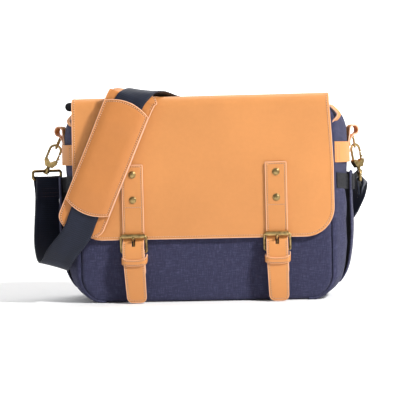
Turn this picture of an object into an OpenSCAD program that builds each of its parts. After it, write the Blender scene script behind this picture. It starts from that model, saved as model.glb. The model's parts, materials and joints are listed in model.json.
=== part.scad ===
// Messenger bag: canvas body with a leather flap, two buckled closure straps,
// side pockets, snap hooks and a webbing shoulder strap with a leather pad.
// Millimetres. +X is the wearer's view to the right, -Y is the front, +Z is up.
// The origin is the centre of the underside of the base.

/* [Body] */
// Depth of the body from the front canvas to the back canvas
body_depth = 130; // [110:1:150]
// Half of the width of the front and back panels, seam to seam
panel_half = 164; // [150:1:175]
// Half of the width of the bag where its sides bulge most
bulge_half = 186; // [178:1:194]
// Height of the rim of the main compartment
rim_height = 250; // [235:1:255]
// Thickness of the padded canvas walls
wall = 4; // [3:0.5:5]
// Radius of the lower corners of the front and back panels
panel_corner = 33; // [20:1:45]
// Radius of the lower corners where the sides bulge
bulge_corner = 48; // [35:1:55]

/* [Flap] */
// Half of the width of the flap
flap_half = 172; // [166:1:176]
// Height of the lower edge of the flap above the base
flap_bottom = 82; // [75:1:95]
// Height of the top face of the flap
flap_top = 268; // [262:1:272]
// Thickness of the flap leather
flap_thick = 2.5; // [2:0.1:3]
// Radius of the lower corners of the flap
flap_corner = 38; // [30:1:55]
// Radius of the bend where the flap turns over the front edge
flap_bend = 13; // [8:1:16]

/* [Closure straps] */
// Distance from the middle of the bag to each closure strap
closure_x = 93.5; // [80:0.5:110]
// Width of a closure strap
closure_w = 28; // [24:1:32]
// Thickness of a closure strap
closure_thick = 2.3; // [2:0.1:2.6]
// Height of the top end of a closure strap
closure_top = 180; // [165:1:200]
// Height of the tip of a closure strap's tail
closure_tip = 2.5; // [2:0.5:20]

/* [Buckles] */
// Height of the roller's axis
roller_z = 87; // [84:0.5:92]
// Outer radius of the roller
roller_r = 3.4; // [3:0.1:3.8]
// Radius of the wire of the buckle frame
buckle_wire = 1.7; // [1.4:0.1:1.9]
// Distance between the roller bar and the heel bar
buckle_reach = 22; // [20:0.5:24]
// Width of the buckle frame, outside
buckle_w = 36.5; // [35:0.5:40]

/* [Shoulder strap] */
// Width of the webbing
web_w = 38; // [36:1:40]
// Thickness of the webbing
web_thick = 1.8; // [1.4:0.1:2]
// Width of the shoulder pad
pad_w = 63; // [56:1:70]
// Lean of the shoulder pad from the vertical, in degrees
pad_lean = 23.5; // [18:0.1:26]

/* [Snap hooks] */
// Lean of the left hook away from the vertical, in degrees
left_lean = 24; // [12:1:26]
// Lean of the right hook away from the vertical, in degrees
right_lean = 9; // [4:1:14]
// Turn of the left ring about the vertical, in degrees
left_ring_turn = 42; // [30:1:50]
// Turn of the right ring about the vertical, in degrees
right_ring_turn = 90; // [80:1:90]
// Radius of the wire of the hooks
hook_wire = 1.7; // [1.5:0.1:2.4]

/* [Hidden] */

fine = 32;
gap = 0.3;
fit = 0.05;
big = 600;
canvas = "#454866";
leather = "#e8995a";
brass = "#8f6f3e";
black = "#22232a";
webbing = "#2e364a";
inner = "#5c6070";

front_y = -body_depth / 2;
back_y = body_depth / 2;
slab = 1;
bulge_run = 25;
bulge_shoulder = 38;
panel_shoulder = 14;

// The flap lies just outside the front canvas
flap_face = front_y - 5;
hinge_y = back_y + 1;
hinge_z = flap_top - 4;
lining_thick = 1.3;

// ---- small shapes -------------------------------------------------------

function unit(v) = v / norm(v);

// Points of an arc about (cx, cz)
function arc(cx, cz, r, from, to, n = 8) = [
  for (i = [0:n]) let (a = from + (to - from) * i / n) [cx + r * cos(a), cz + r * sin(a)]
];

// A list of 2-D points followed by its mirror image in x, as one closed outline
function mirrored(pts) = concat(
  pts, [for (i = [len(pts) - 1:-1:0]) [-pts[i][0], pts[i][1]]]
);

// Stands a 2-D outline drawn in x and z upright, running from y0 to y1
module upright(y0, y1) {
  translate([0, y1, 0]) rotate([90, 0, 0]) linear_extrude(y1 - y0) children();
}

// Runs a 2-D outline drawn in y and z along x, from x0 to x1
module along_x(x0, x1) {
  translate([x0, 0, 0]) rotate([90, 0, 90]) linear_extrude(x1 - x0) children();
}

module block(low, high) {
  translate(low) cube(high - low);
}

// A straight round bar between two points
module bar(a, b, r) {
  d = b - a;
  translate(a)
    rotate([0, acos(d[2] / norm(d)), atan2(d[1], d[0])])
      cylinder(h = norm(d), r = r, $fn = fine);
}

// A rectangular loop of wire in the local x-z plane, its bars' axes w by h apart
module wire_loop(w, h, r, bend) {
  x = w / 2 - bend;
  z = h / 2 - bend;
  for (s = [-1, 1]) {
    bar([-x, 0, s * h / 2], [x, 0, s * h / 2], r);
    bar([s * w / 2, 0, -z], [s * w / 2, 0, z], r);
  }
  for (k = [0:3])
    translate([(k == 0 || k == 3 ? x : -x), 0, (k < 2 ? z : -z)])
      rotate([90, -90 * k, 0])
        rotate_extrude(angle = 90, $fn = fine) translate([bend, 0]) circle(r, $fn = fine);
}

// ---- flat ribbons that bend in space ------------------------------------

// A ribbon's route is a list of [centre, direction across the width].
function spline(a, b, c, d, u) =
  0.5 * (2 * b + (c - a) * u + (2 * a - 5 * b + 4 * c - d) * u * u
         + (3 * b - a - 3 * c + d) * u * u * u);

function smooth_at(s, i, j, u) =
  spline(s[max(i - 1, 0)][j], s[i][j], s[i + 1][j], s[min(i + 2, len(s) - 1)][j], u);

function smoothed(s, steps) = concat(
  [for (i = [0:len(s) - 2]) for (k = [0:steps - 1])
    [smooth_at(s, i, 0, k / steps), smooth_at(s, i, 1, k / steps)]],
  [s[len(s) - 1]]
);

// The same route shifted by d along its ribbon's normal
function shifted(s, d) = [
  for (i = [0:len(s) - 1]) [s[i][0] + unit(cross(tangent(s, i), s[i][1])) * d, s[i][1]]
];

function tangent(s, i) = unit(s[min(i + 1, len(s) - 1)][0] - s[max(i - 1, 0)][0]);

function ribbon_points(s, w, t) = [
  for (i = [0:len(s) - 1])
    let (a = unit(s[i][1]), n = unit(cross(tangent(s, i), a)))
      for (k = [[1, 1], [-1, 1], [-1, -1], [1, -1]])
        s[i][0] + a * k[0] * w / 2 + n * k[1] * t / 2
];

function ribbon_faces(n) = concat(
  [[0, 1, 2], [0, 2, 3]],
  [for (i = [0:n - 2]) for (k = [0:3]) for (second = [false, true])
    let (a = 4 * i + k, b = a + 4, d = 4 * i + (k + 1) % 4, c = d + 4)
      second ? [a, c, d] : [a, b, c]],
  [[4 * n - 1, 4 * n - 2, 4 * n - 3], [4 * n - 1, 4 * n - 3, 4 * n - 4]]
);

module ribbon(route, w, t, steps = 2) {
  s = smoothed(route, steps);
  polyhedron(ribbon_points(s, w, t), ribbon_faces(len(s)));
}

// ---- the body shell ------------------------------------------------------

// Front view outline, inset by t, open upwards where t is above zero
function outline(half, low_r, high_r, t) =
  let (
    top_z = rim_height - high_z(high_r),
    r = high_r - t,
    stop = asin(min(1, top_z / r)),
    end_x = half - high_r + r * cos(stop)
  )
  concat(
    arc(half - low_r, low_r, low_r - t, -90, 0),
    arc(half - high_r, high_z(high_r), r, 0, stop),
    [[end_x, rim_height + (t > 0 ? slab : 0)]]
  );

// Height of the centre of a shoulder's arc
function high_z(high_r) = high_r > panel_shoulder ? rim_height - 34 : rim_height - high_r;

// The bag's outer form, inset by t: flat front and back, bulging sides
module body_form(t) {
  hull() {
    for (s = [-1, 1])
      upright(s > 0 ? back_y - t - slab : front_y + t, s > 0 ? back_y - t : front_y + t + slab)
        polygon(mirrored(outline(panel_half, panel_corner, panel_shoulder, t)));
    upright(-bulge_run, bulge_run)
      polygon(mirrored(outline(bulge_half, bulge_corner, bulge_shoulder, t)));
  }
}

// A skin over the outside of the body, between two offsets
module skin(from, to) {
  difference() {
    body_form(-to);
    body_form(-from);
  }
}

module side_half(side) {
  block([side > 0 ? 0 : -big, -big, 0], [side > 0 ? big : 0, big, big]);
}

module front_panel() {
  color(canvas) intersection() {
    body_form(0);
    block([-big, -big, wall], [big, front_y + wall, big]);
  }
}

module back_panel() {
  color(canvas) intersection() {
    body_form(0);
    block([-big, back_y - wall, wall], [big, big, big]);
  }
}

// Side wall: rows of the outline at depths y, mixed between the panel's and the bulge's
gusset_rows = [front_y + wall, -bulge_run, bulge_run, back_y - wall];
function gusset_mix(y) = min(1, (back_y - slab - abs(y)) / (back_y - slab - bulge_run));

function gusset_line(half, low_r, high_r, t) =
  let (
    from = t > 0 ? -90 : acos((low_r - wall) / low_r) - 90,
    z0 = high_z(high_r),
    stop = asin(min(1, (rim_height - z0) / (high_r - t))),
    top = arc(half - high_r, z0, high_r - t, 0, stop)
  )
  concat(
    arc(half - low_r, low_r, low_r - t, from, 0),
    [for (i = [0:len(top) - 2]) top[i]],
    [[top[len(top) - 1][0], rim_height]]
  );

function gusset_row(y, t) =
  let (
    edge = gusset_line(panel_half, panel_corner, panel_shoulder, t),
    middle = gusset_line(bulge_half, bulge_corner, bulge_shoulder, t),
    m = gusset_mix(y)
  )
  [for (i = [0:len(edge) - 1])
    let (p = edge[i] * (1 - m) + middle[i] * m) [p[0], y, p[1]]];

// A closed sheet between two grids of points, rows by columns
module thick_sheet(outer, inner_grid) {
  rows = len(outer);
  cols = len(outer[0]);
  half = rows * cols;
  function at(layer, i, j) = layer * half + i * cols + j;
  function quad(a, b, c, d) = [[a, b, c], [a, c, d]];
  faces = concat(
    [for (i = [0:rows - 2]) for (j = [0:cols - 2]) for (f = concat(
      quad(at(0, i, j), at(0, i, j + 1), at(0, i + 1, j + 1), at(0, i + 1, j)),
      quad(at(1, i, j), at(1, i + 1, j), at(1, i + 1, j + 1), at(1, i, j + 1)))) f],
    [for (i = [0:rows - 2]) for (f = concat(
      quad(at(0, i, 0), at(0, i + 1, 0), at(1, i + 1, 0), at(1, i, 0)),
      quad(at(0, i, cols - 1), at(1, i, cols - 1), at(1, i + 1, cols - 1), at(0, i + 1, cols - 1)))) f],
    [for (j = [0:cols - 2]) for (f = concat(
      quad(at(0, 0, j), at(1, 0, j), at(1, 0, j + 1), at(0, 0, j + 1)),
      quad(at(0, rows - 1, j), at(0, rows - 1, j + 1), at(1, rows - 1, j + 1), at(1, rows - 1, j)))) f]
  );
  polyhedron([for (grid = [outer, inner_grid]) for (row = grid) for (p = row) p], faces);
}

module right_gusset() {
  color(canvas) thick_sheet(
    [for (y = gusset_rows) gusset_row(y, 0)],
    [for (y = gusset_rows) gusset_row(y, wall)]
  );
}

module left_gusset() {
  mirror([1, 0, 0]) right_gusset();
}

module base_panel() {
  color(canvas) intersection() {
    body_form(0);
    block([-big, -big, -slab], [big, big, wall]);
  }
}

// ---- inside ---------------------------------------------------------------

lining_half = panel_half - 16;
lining_top = rim_height - 8;
liner = 1.6;
module lining(y0) {
  color(inner) block([-lining_half, y0, wall + 6], [lining_half, y0 + liner, lining_top]);
}

module front_lining() lining(front_y + wall + 0.2);
module back_lining() lining(back_y - wall - 0.2 - liner);

divider_y = 22;
divider_thick = 6;
divider_top = 205;
module padded_divider() {
  color(inner)
    block([-lining_half + 6, divider_y, wall + 4], [lining_half - 6, divider_y + divider_thick, divider_top]);
}

// ---- side fittings ----------------------------------------------------------

band_low = 181;
band_high = 208;
module side_band(side) {
  color(leather) intersection() {
    skin(0.05, 2);
    side_half(side);
    block([-big, front_y + 3, band_low], [big, back_y - 3, band_high]);
  }
}

module left_side_band() side_band(-1);
module right_side_band() side_band(1);

// A small upright leather loop for the snap hook, standing out from the side
loop_x = 196.5;
loop_y = -10;
loop_zs = [224, 217];
function loop_z(side) = side < 0 ? loop_zs[0] : loop_zs[1];
loop_w = 15.2;
loop_h = 20;
loop_leather = 2.2;
loop_strip = 4;
module stadium(w, h) {
  for (s = [-1, 1])
    translate([0, s * (h - w) / 2]) circle(d = w, $fn = fine);
  square([w, h - w], center = true);
}

module hook_loop(side) {
  inner = bulge_half + 2.4;
  outer = loop_x - loop_w / 2 + loop_leather;
  color(leather) {
    translate([side * loop_x, 0, loop_z(side)]) upright(loop_y - loop_strip / 2, loop_y + loop_strip / 2)
      difference() {
        stadium(loop_w, loop_h);
        stadium(loop_w - 2 * loop_leather, loop_h - 2 * loop_leather);
      }
    // The strip carries on down to the leather band, close to the canvas
    block(
      [min(side * inner, side * outer), loop_y - loop_strip / 2, band_high - 14],
      [max(side * inner, side * outer), loop_y + loop_strip / 2, loop_z(side) - 2]
    );
  }
}

module left_hook_loop() hook_loop(-1);
module right_hook_loop() hook_loop(1);

// A leather pull loop beside each front corner of the mouth
pull_y = front_y + 7;
pull_x = 175;
pull_z = 239;
pull_w = 9.5;
pull_h = 27;
pull_leather = 1.6;
pull_deep = 8;
module pull_loop(side) {
  color(leather)
    translate([side * pull_x, 0, pull_z]) upright(pull_y - pull_deep / 2, pull_y + pull_deep / 2)
      difference() {
        stadium(pull_w, pull_h);
        stadium(pull_w - 2 * pull_leather, pull_h - 2 * pull_leather);
      }
}

module left_pull_loop() pull_loop(-1);
module right_pull_loop() pull_loop(1);

pocket_low = 20;
pocket_high = 165;
pocket_half = 40;
pocket_out = 9;
pocket_wall = 1.6;
module pocket(side) {
  color(canvas) intersection() {
    skin(pocket_out - pocket_wall, pocket_out);
    side_half(side);
    block([-big, -pocket_half, pocket_low], [big, pocket_half, pocket_high]);
  }
}

module left_pocket() pocket(-1);
module right_pocket() pocket(1);

module pocket_gusset(side) {
  color(black) intersection() {
    skin(0.05, pocket_out - pocket_wall - 0.05);
    side_half(side);
    difference() {
      block([-big, -pocket_half, pocket_low], [big, pocket_half, pocket_high - 12]);
      block([-big, 2 - pocket_half, pocket_low + 2], [big, pocket_half - 2, big]);
    }
  }
}

module left_pocket_gusset() pocket_gusset(-1);
module right_pocket_gusset() pocket_gusset(1);

// A black webbing strap across each side, above the pocket
module pocket_strap(side) {
  color(black) intersection() {
    skin(pocket_out + 0.1, pocket_out + 1.6);
    side_half(side);
    block([-big, -pocket_half - 8, 149], [big, pocket_half + 8, 169]);
  }
}

module left_pocket_strap() pocket_strap(-1);
module right_pocket_strap() pocket_strap(1);

// ---- top zip, open ------------------------------------------------------------

tape_half = 146;
tape_low = rim_height - 10;
tape_high = rim_height + 8;
tape_thick = 1;
teeth = 3;
tape_inset = 8.2;

module zip_tape(y, toward) {
  color(black) {
    block([-tape_half, y, tape_low], [tape_half, y + tape_thick, tape_high]);
    for (x = [-tape_half + 4:6:tape_half - 22])
      block(
        [x, min(y, y + toward * teeth) + (toward > 0 ? tape_thick : 0), tape_high - 3],
        [x + 3, max(y, y + toward * teeth) + (toward > 0 ? tape_thick - 1 : 0), tape_high]
      );
  }
}

module zip_front_tape() zip_tape(front_y + tape_inset, 1);
module zip_back_tape() zip_tape(back_y - tape_inset - tape_thick, -1);

slider_x = 136;
slider_y = back_y - tape_inset - tape_thick / 2;
slider_z = tape_high - 2;
pull_axis_z = slider_z + 0.5;
module zip_slider() {
  color(brass) difference() {
    union() {
      translate([slider_x, slider_y, slider_z + 0.5]) cube([11, 9, 6], center = true);
      // Lug on the inner face that carries the pull
      translate([slider_x, slider_y - 6, slider_z + 0.5]) cube([2.4, 4, 4], center = true);
    }
    // Slot that the tape runs through, open below
    translate([slider_x, slider_y, slider_z - 1]) cube([big, 1.8, 6.4], center = true);
    translate([slider_x - 5, slider_y - 6.6, pull_axis_z])
      rotate([0, 90, 0]) cylinder(h = 10, r = 0.9 + fit, $fn = fine);
  }
}

// A pull tab hanging from the slider, free to swing up
module zip_pull() {
  color(brass) translate([slider_x, slider_y - 6.6, pull_axis_z]) {
    rotate([0, 90, 0]) translate([0, 0, -3.6]) cylinder(h = 7.2, r = 0.9, $fn = fine);
    for (s = [-1, 1])
      block([s > 0 ? 2 : -3.6, -1, -9], [s > 0 ? 3.6 : -2, 1, 1]);
    block([-4.2, -1, -30], [4.2, 1, -9]);
  }
}

// Folded dark tab at the left end of the zip, sewn to the rim and standing out past the flap
module zip_end_tab() {
  color(canvas) block([-192, -9, rim_height + 0.05], [-163, 5, rim_height + 9]);
}

// ---- flap -----------------------------------------------------------------------

// Side view of the flap leather: top run, bend and front drop, inset by t
function flap_profile(t, thick) =
  let (
    y = flap_face + t,
    z = flap_top - t,
    r = flap_bend - t
  )
  concat(
    [[hinge_y - 1, z]],
    arc(y + r, z - r, r, 90, 180),
    [[y, 0], [y + thick, 0]],
    arc(y + r, z - r, r - thick, 180, 90),
    [[hinge_y - 1, z - thick]]
  );

module flap_shape(t, thick, edge) {
  intersection() {
    along_x(-flap_half + edge, flap_half - edge) polygon(flap_profile(t, thick));
    upright(-big, big) polygon(mirrored(concat(
      arc(flap_half - flap_corner, flap_bottom + flap_corner, flap_corner - edge, -90, 0),
      [[flap_half - edge, big]]
    )));
  }
}

module flap() {
  color(leather) flap_shape(0, flap_thick, 0);
}

module flap_lining() {
  color(inner) flap_shape(flap_thick + 0.05, lining_thick, 5);
}

// The rear of the flap leather, sewn to the back panel
module flap_hinge_strip() {
  color(leather)
    block([-flap_half + 4, back_y + 0.1, 215], [flap_half - 4, back_y + 0.1 + flap_thick, hinge_z - 2.5]);
}

// ---- closure straps ---------------------------------------------------------------

// Middle of the strap's thickness in y and z, from its sewn top to its hanging tip: it comes
// forward under the roller and hangs in front of the chape
strap_y = flap_face - gap - closure_thick / 2;
roller_y = flap_face - gap - closure_thick - gap - roller_r;
closure_route = concat(
  [[strap_y, closure_top], [strap_y, 100]],
  arc(roller_y, roller_z, strap_y - roller_y, 0, -40, 3),
  [
    [flap_face - 5.2, 80],
    [flap_face - 8, 75],
    [flap_face - 9.8, 68],
    [flap_face - 10.4, 58],
    [flap_face - 10.4, 20],
    [flap_face - 9.6, closure_tip]
  ]
);

slot_w = 4.4;
slot_low = 74;
slot_high = 88;
module closure_strap(side) {
  x = side * closure_x;
  color(leather) difference() {
    ribbon([for (p = closure_route) [[x, p[0], p[1]], [1, 0, 0]]], closure_w, closure_thick, 1);
    // Slot for the prong
    block([x - slot_w / 2, -big, slot_low], [x + slot_w / 2, big, slot_high]);
  }
}

module left_closure_strap() closure_strap(-1);
module right_closure_strap() closure_strap(1);

rivet_zs = [134, 167];
rivet_r = 5;
module rivets(side) {
  strap_face = flap_face - gap - closure_thick;
  color(brass) for (z = rivet_zs)
    translate([side * closure_x, strap_face, z]) rotate([90, 0, 0]) {
      translate([0, 0, 0.05]) cylinder(h = 0.8, r = rivet_r, $fn = fine);
      translate([0, 0, 0.85]) cylinder(h = 1, r1 = rivet_r - 0.4, r2 = rivet_r - 2, $fn = fine);
    }
}

module left_rivets() rivets(-1);
module right_rivets() rivets(1);

// ---- buckles -------------------------------------------------------------------------

heel_y = flap_face + 0.4;
buckle_tilt = asin((heel_y - roller_y) / buckle_reach);
heel_z = roller_z - buckle_reach * cos(buckle_tilt);
roller_half = 14.5;

// Local frame: the roller's axis is the x axis and the heel bar lies below it
module at_buckle(side) {
  translate([side * closure_x, roller_y, roller_z]) rotate([buckle_tilt, 0, 0]) children();
}

module buckle_frame(side) {
  color(brass) at_buckle(side) translate([0, 0, -buckle_reach / 2])
    wire_loop(buckle_w - 2 * buckle_wire, buckle_reach, buckle_wire, 2.2);
}

module left_buckle_frame() buckle_frame(-1);
module right_buckle_frame() buckle_frame(1);

module roller(side) {
  color(brass) at_buckle(side) rotate([0, 90, 0]) translate([0, 0, -roller_half]) difference() {
    cylinder(h = 2 * roller_half, r = roller_r, $fn = fine);
    translate([0, 0, -1]) cylinder(h = 2 * roller_half + 2, r = buckle_wire + fit, $fn = fine);
  }
}

module left_roller() roller(-1);
module right_roller() roller(1);

// The prong runs up behind the strap, through its slot, and rests on the front of the roller
prong_r = 1.3;
prong_eye = 3.1;
prong_w = 4;
prong_path = [[-2, -21], [-1, -14], [-0.2, -7.6], [-3.9, -4.2], [-5.1, -1.2]];
module prong(side) {
  color(brass) at_buckle(side) difference() {
    union() {
      translate([-prong_w / 2, 0, -buckle_reach]) rotate([0, 90, 0])
        cylinder(h = prong_w, r = prong_eye, $fn = fine);
      for (i = [1:len(prong_path) - 1]) {
        a = prong_path[i - 1];
        b = prong_path[i];
        bar([0, a[0], a[1]], [0, b[0], b[1]], prong_r);
        translate([0, b[0], b[1]]) sphere(prong_r + 0.15, $fn = fine);
      }
    }
    translate([-10, 0, -buckle_reach]) rotate([0, 90, 0])
      cylinder(h = 20, r = buckle_wire + fit, $fn = fine);
  }
}

module left_prong() prong(-1);
module right_prong() prong(1);

// Leather folded round the heel bar, its two layers running down behind the strap
chape_low = 38;
chape_leaf = 1.8;
chape_slot = 8;
chape_step = 3;
module chape(side) {
  x = side * closure_x;
  left = x - closure_w / 2;
  right = x + closure_w / 2;
  r = buckle_wire + 0.1;
  color(leather) difference() {
    union() {
      along_x(left, right) translate([heel_y, heel_z]) circle(r + chape_leaf, $fn = fine);
      block([left, heel_y - chape_leaf - 0.1, chape_low], [right, heel_y - 0.1, heel_z - r]);
      block([left, heel_y, chape_low + chape_step], [right, heel_y + chape_leaf, heel_z - r]);
    }
    along_x(x - closure_w, x + closure_w) translate([heel_y, heel_z]) circle(r, $fn = fine);
    block([x - chape_slot / 2, -big, heel_z - 6], [x + chape_slot / 2, big, heel_z + 8]);
  }
}

module left_chape() chape(-1);
module right_chape() chape(1);

// Leather loop round the closure strap and the chape
keeper_low = 48.5;
keeper_high = 57;
keeper_in_front = flap_face - 11.8;
keeper_in_back = heel_y + chape_leaf + 0.2;
keeper_leaf = 1.5;
module keeper(side) {
  x = side * closure_x;
  half = closure_w / 2 + 0.8;
  color(leather) difference() {
    block([x - half - keeper_leaf, keeper_in_front - keeper_leaf, keeper_low],
          [x + half + keeper_leaf, keeper_in_back + keeper_leaf * 0.6, keeper_high]);
    block([x - half, keeper_in_front, keeper_low - 1], [x + half, keeper_in_back, keeper_high + 1]);
  }
}

module left_keeper() keeper(-1);
module right_keeper() keeper(1);

// Magnetic snap: a stud on the back of the chape and a socket on the front panel
snap_z = 43;
module snap_stud(side) {
  color(brass) translate([side * closure_x, heel_y + chape_leaf + 0.05, snap_z]) rotate([-90, 0, 0])
    cylinder(h = 1, r = 4.5, $fn = fine);
}

module left_snap_stud() snap_stud(-1);
module right_snap_stud() snap_stud(1);

module snap_socket(side) {
  color(brass) translate([side * closure_x, front_y - 0.02, snap_z]) rotate([90, 0, 0])
    cylinder(h = 1.2, r = 7, $fn = fine);
}

module left_snap_socket() snap_socket(-1);
module right_snap_socket() snap_socket(1);

// ---- snap hooks ------------------------------------------------------------------------

hook_top = 31;
hook_bow = 7.5;
hook_block = 11;
ring_drop = 6;
ring_h = 11;
ring_wire = 2;
hook_turns = [14, 42];

// Small ring that hangs edge-on in the leather loop and carries the hook
tie_wire = 1.3;
tie_w = 11;
tie_h = 15;
tie_gap = 0.5;
hang_gap = 0.8;

function lean_of(side) = side < 0 ? left_lean : right_lean;
function hook_axis(side) = [-side * sin(lean_of(side)), 0, cos(lean_of(side))];
function tie_top(side) =
  [side * loop_x, loop_y, loop_z(side) - loop_h / 2 + loop_leather + tie_wire + tie_gap];
function hook_foot(side) =
  tie_top(side) - (tie_h - tie_wire - hook_wire - hang_gap + hook_top) * hook_axis(side);
function ring_top(side) = hook_foot(side) - ring_drop * hook_axis(side);
function ring_bar(side) = ring_top(side) - [0, 0, ring_h];

// Local frame of a hook: its foot at the origin and its bow upwards
module at_hook(side, turn) {
  translate(hook_foot(side)) rotate([0, -side * lean_of(side), 0]) rotate([0, 0, turn]) children();
}

// The hook's block is a flat casting with a notch between its two arms
hook_neck = 5;
hook_wide = 9.2;
hook_shoulder = 7;
hook_notch = 6.5;
hook_deep = 6.8;
post_r = 2.5;
gate_z = 7.2;
gate_pin = [hook_bow - 0.6, 0, gate_z];
gate_r = 1.4;
nose_z = 20;
thumb_z = 14;
module hook(side) {
  color(brass) at_hook(side, side < 0 ? hook_turns[0] : hook_turns[1]) {
    bow_z = hook_top - hook_bow;
    translate([0, 0, bow_z]) rotate([90, 0, 0])
      rotate_extrude(angle = 180, $fn = fine) translate([hook_bow, 0]) circle(hook_wire, $fn = fine);
    bar([-hook_bow, 0, hook_block - 1], [-hook_bow, 0, bow_z], hook_wire);
    bar([hook_bow, 0, nose_z], [hook_bow, 0, bow_z], hook_wire);
    difference() {
      upright(-hook_deep / 2, hook_deep / 2) polygon(concat(
        [[-hook_neck, 0], [hook_neck, 0], [hook_wide, hook_shoulder], [hook_wide, hook_block]],
        [[hook_neck, hook_block], [0, hook_notch], [-hook_neck, hook_block]],
        [[-hook_wide, hook_block], [-hook_wide, hook_shoulder]]
      ));
      block([gate_pin[0] - 3.2, -1.7, gate_pin[2] - 3.6], [20, 1.7, 20]);
    }
    bar(gate_pin - [0, 2.6, 0], gate_pin + [0, 2.6, 0], 0.8);
    // Swivel post with its head below the ring's top bar
    translate([0, 0, -9.6]) cylinder(h = 10, r = post_r, $fn = fine);
    translate([0, 0, -10.6]) cylinder(h = 1, r = 3.6, $fn = fine);
  }
}

module left_hook() hook(-1);
module right_hook() hook(1);

module hook_gate(side) {
  color(brass) at_hook(side, side < 0 ? hook_turns[0] : hook_turns[1]) difference() {
    union() {
      translate(gate_pin) rotate([90, 0, 0]) cylinder(h = 3, r = 2.4, center = true, $fn = fine);
      bar(gate_pin, [hook_bow, 0, nose_z - 0.4], gate_r);
      bar([hook_bow + 0.8, 0, thumb_z], [hook_bow + 3, 0, thumb_z], 1.2);
    }
    translate(gate_pin) rotate([90, 0, 0]) cylinder(h = 10, r = 0.8 + fit, center = true, $fn = fine);
  }
}

module left_hook_gate() hook_gate(-1);
module right_hook_gate() hook_gate(1);

// Rectangular ring for the webbing, its boss turning on the hook's post
module ring(side) {
  turn = side < 0 ? left_ring_turn : right_ring_turn;
  boss = [ring_drop - 2.4, ring_drop + 2.4];
  color(brass) difference() {
    union() {
      translate(ring_top(side) - [0, 0, ring_h / 2]) rotate([0, 0, turn])
        wire_loop(web_w + 2 + 2 * ring_wire, ring_h, ring_wire, 3);
      at_hook(side, 0) translate([0, 0, -boss[1]]) cylinder(h = boss[1] - boss[0], r = 4, $fn = fine);
    }
    at_hook(side, 0) translate([0, 0, -20]) cylinder(h = 20, r = post_r + fit, $fn = fine);
    // Room for the head of the post
    at_hook(side, 0) translate([0, 0, -12]) cylinder(h = 12 - boss[1], r = 3.9, $fn = fine);
  }
}

module tie_ring(side) {
  color(brass) translate(tie_top(side)) rotate([0, -side * lean_of(side), 0]) rotate([0, 0, 90])
    translate([0, 0, -tie_h / 2]) wire_loop(tie_w, tie_h, tie_wire, 4);
}

module left_tie_ring() tie_ring(-1);
module right_tie_ring() tie_ring(1);

module left_ring() ring(-1);
module right_ring() ring(1);

// ---- shoulder strap -----------------------------------------------------------------------

// Route of a webbing end looped over a ring's lower bar. The short end hangs on the face
// side, and the long end leaves on the other side.
loop_r = ring_wire + 0.3 + web_thick / 2;
function looped_end(side, turn, face, drop) =
  let (b = ring_bar(side), a = [cos(turn), sin(turn), 0], n = face * [sin(turn), -cos(turn), 0])
  concat(
    [[b + n * 1.4 - [0, 0, drop], a], [b + n * (loop_r - 0.4) - [0, 0, 7], a]],
    [for (q = [0:30:180]) [b + n * loop_r * cos(q) + [0, 0, loop_r * sin(q)], a]],
    [[b - n * (loop_r - 0.4) - [0, 0, 7], a], [b - n * 1.4 - [0, 0, drop], a]]
  );

// The left leg hangs from its ring and turns up under the front of the strap
left_leg_route = concat(
  looped_end(-1, left_ring_turn, 1, 26),
  [
    [[-217, -10, 105], [0.82, 0.55, -0.05]],
    [[-215, -24, 76], [0.9, 0.38, -0.18]],
    [[-209, -43, 56], [0.94, 0.22, -0.24]],
    [[-203, -58, 49.5], [0.95, 0.1, -0.27]]
  ]
);

// The front of the strap lies over the flap under the pad, then crosses the top
pad_across = [cos(pad_lean), 0, -sin(pad_lean)];
pad_along = [sin(pad_lean), 0, cos(pad_lean)];
pad_foot = [-158, -81.4, 113];
strap_front_route = [
  [[-202, -60.5, 49.3], [0.95, 0.08, -0.28]],
  [[-197, -71, 52], [0.93, 0.04, -0.34]],
  [[-188, -79, 66], [0.91, 0, -0.41]],
  [pad_foot - 22 * pad_along, pad_across],
  [pad_foot, pad_across],
  [pad_foot + 84 * pad_along, pad_across],
  [pad_foot + 160 * pad_along, pad_across],
  [[-88.5, -78, 270], [0.93, -0.1, -0.33]],
  [[-81.5, -66, 276], [0.93, -0.3, -0.18]],
  [[-71, -40, 274.5], [0.93, -0.37, 0]],
  [[-57, 0, 271.2], [0.93, -0.37, 0]],
  [[-44, 40, 271], [0.93, -0.37, 0]],
  [[-35.5, hinge_y, 272], [0.93, -0.37, 0]]
];

// The rear of the strap hangs behind the bag and comes round to the right ring
rear_y = back_y + 8;
right_end = looped_end(1, right_ring_turn, -1, 19);
strap_rear_route = concat(
  [
    [[-19, rear_y, 246], [0.93, 0, 0.37]],
    [[-7, rear_y, 215], [0.93, 0, 0.37]],
    [[13, rear_y, 165], [0.93, 0, 0.37]],
    [[33, rear_y + 1, 118], [0.85, 0, 0.5]],
    [[62, rear_y + 2, 88], [0.5, 0, 0.85]],
    [[105, rear_y + 3, 76], [0.05, 0, 1]],
    [[148, rear_y + 3, 84], [-0.35, 0.05, 0.93]],
    [[180, rear_y, 104], [-0.6, 0.25, 0.75]],
    [[200, rear_y - 12, 134], [-0.6, 0.55, 0.5]],
    [[209, rear_y - 32, 148], [-0.35, 0.8, 0.4]],
    [[207, 12, 141], [-0.15, 0.95, 0.2]]
  ],
  [for (i = [len(right_end) - 1:-1:0]) right_end[i]]
);

module strap_left_leg() {
  color(webbing) ribbon(left_leg_route, web_w, web_thick, 1);
}

module strap_front() {
  color(webbing) ribbon(strap_front_route, web_w, web_thick, 2);
}

module strap_rear() {
  color(webbing) ribbon(strap_rear_route, web_w, web_thick, 1);
}

// Shoulder pad: a base under the webbing and a cover over it
pad_gap = web_thick / 2 + 0.25;
function pad_at(d, up, off) =
  [pad_foot + d * pad_along + [0, -off, up], pad_across];

pad_base_thick = 2.2;

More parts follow.
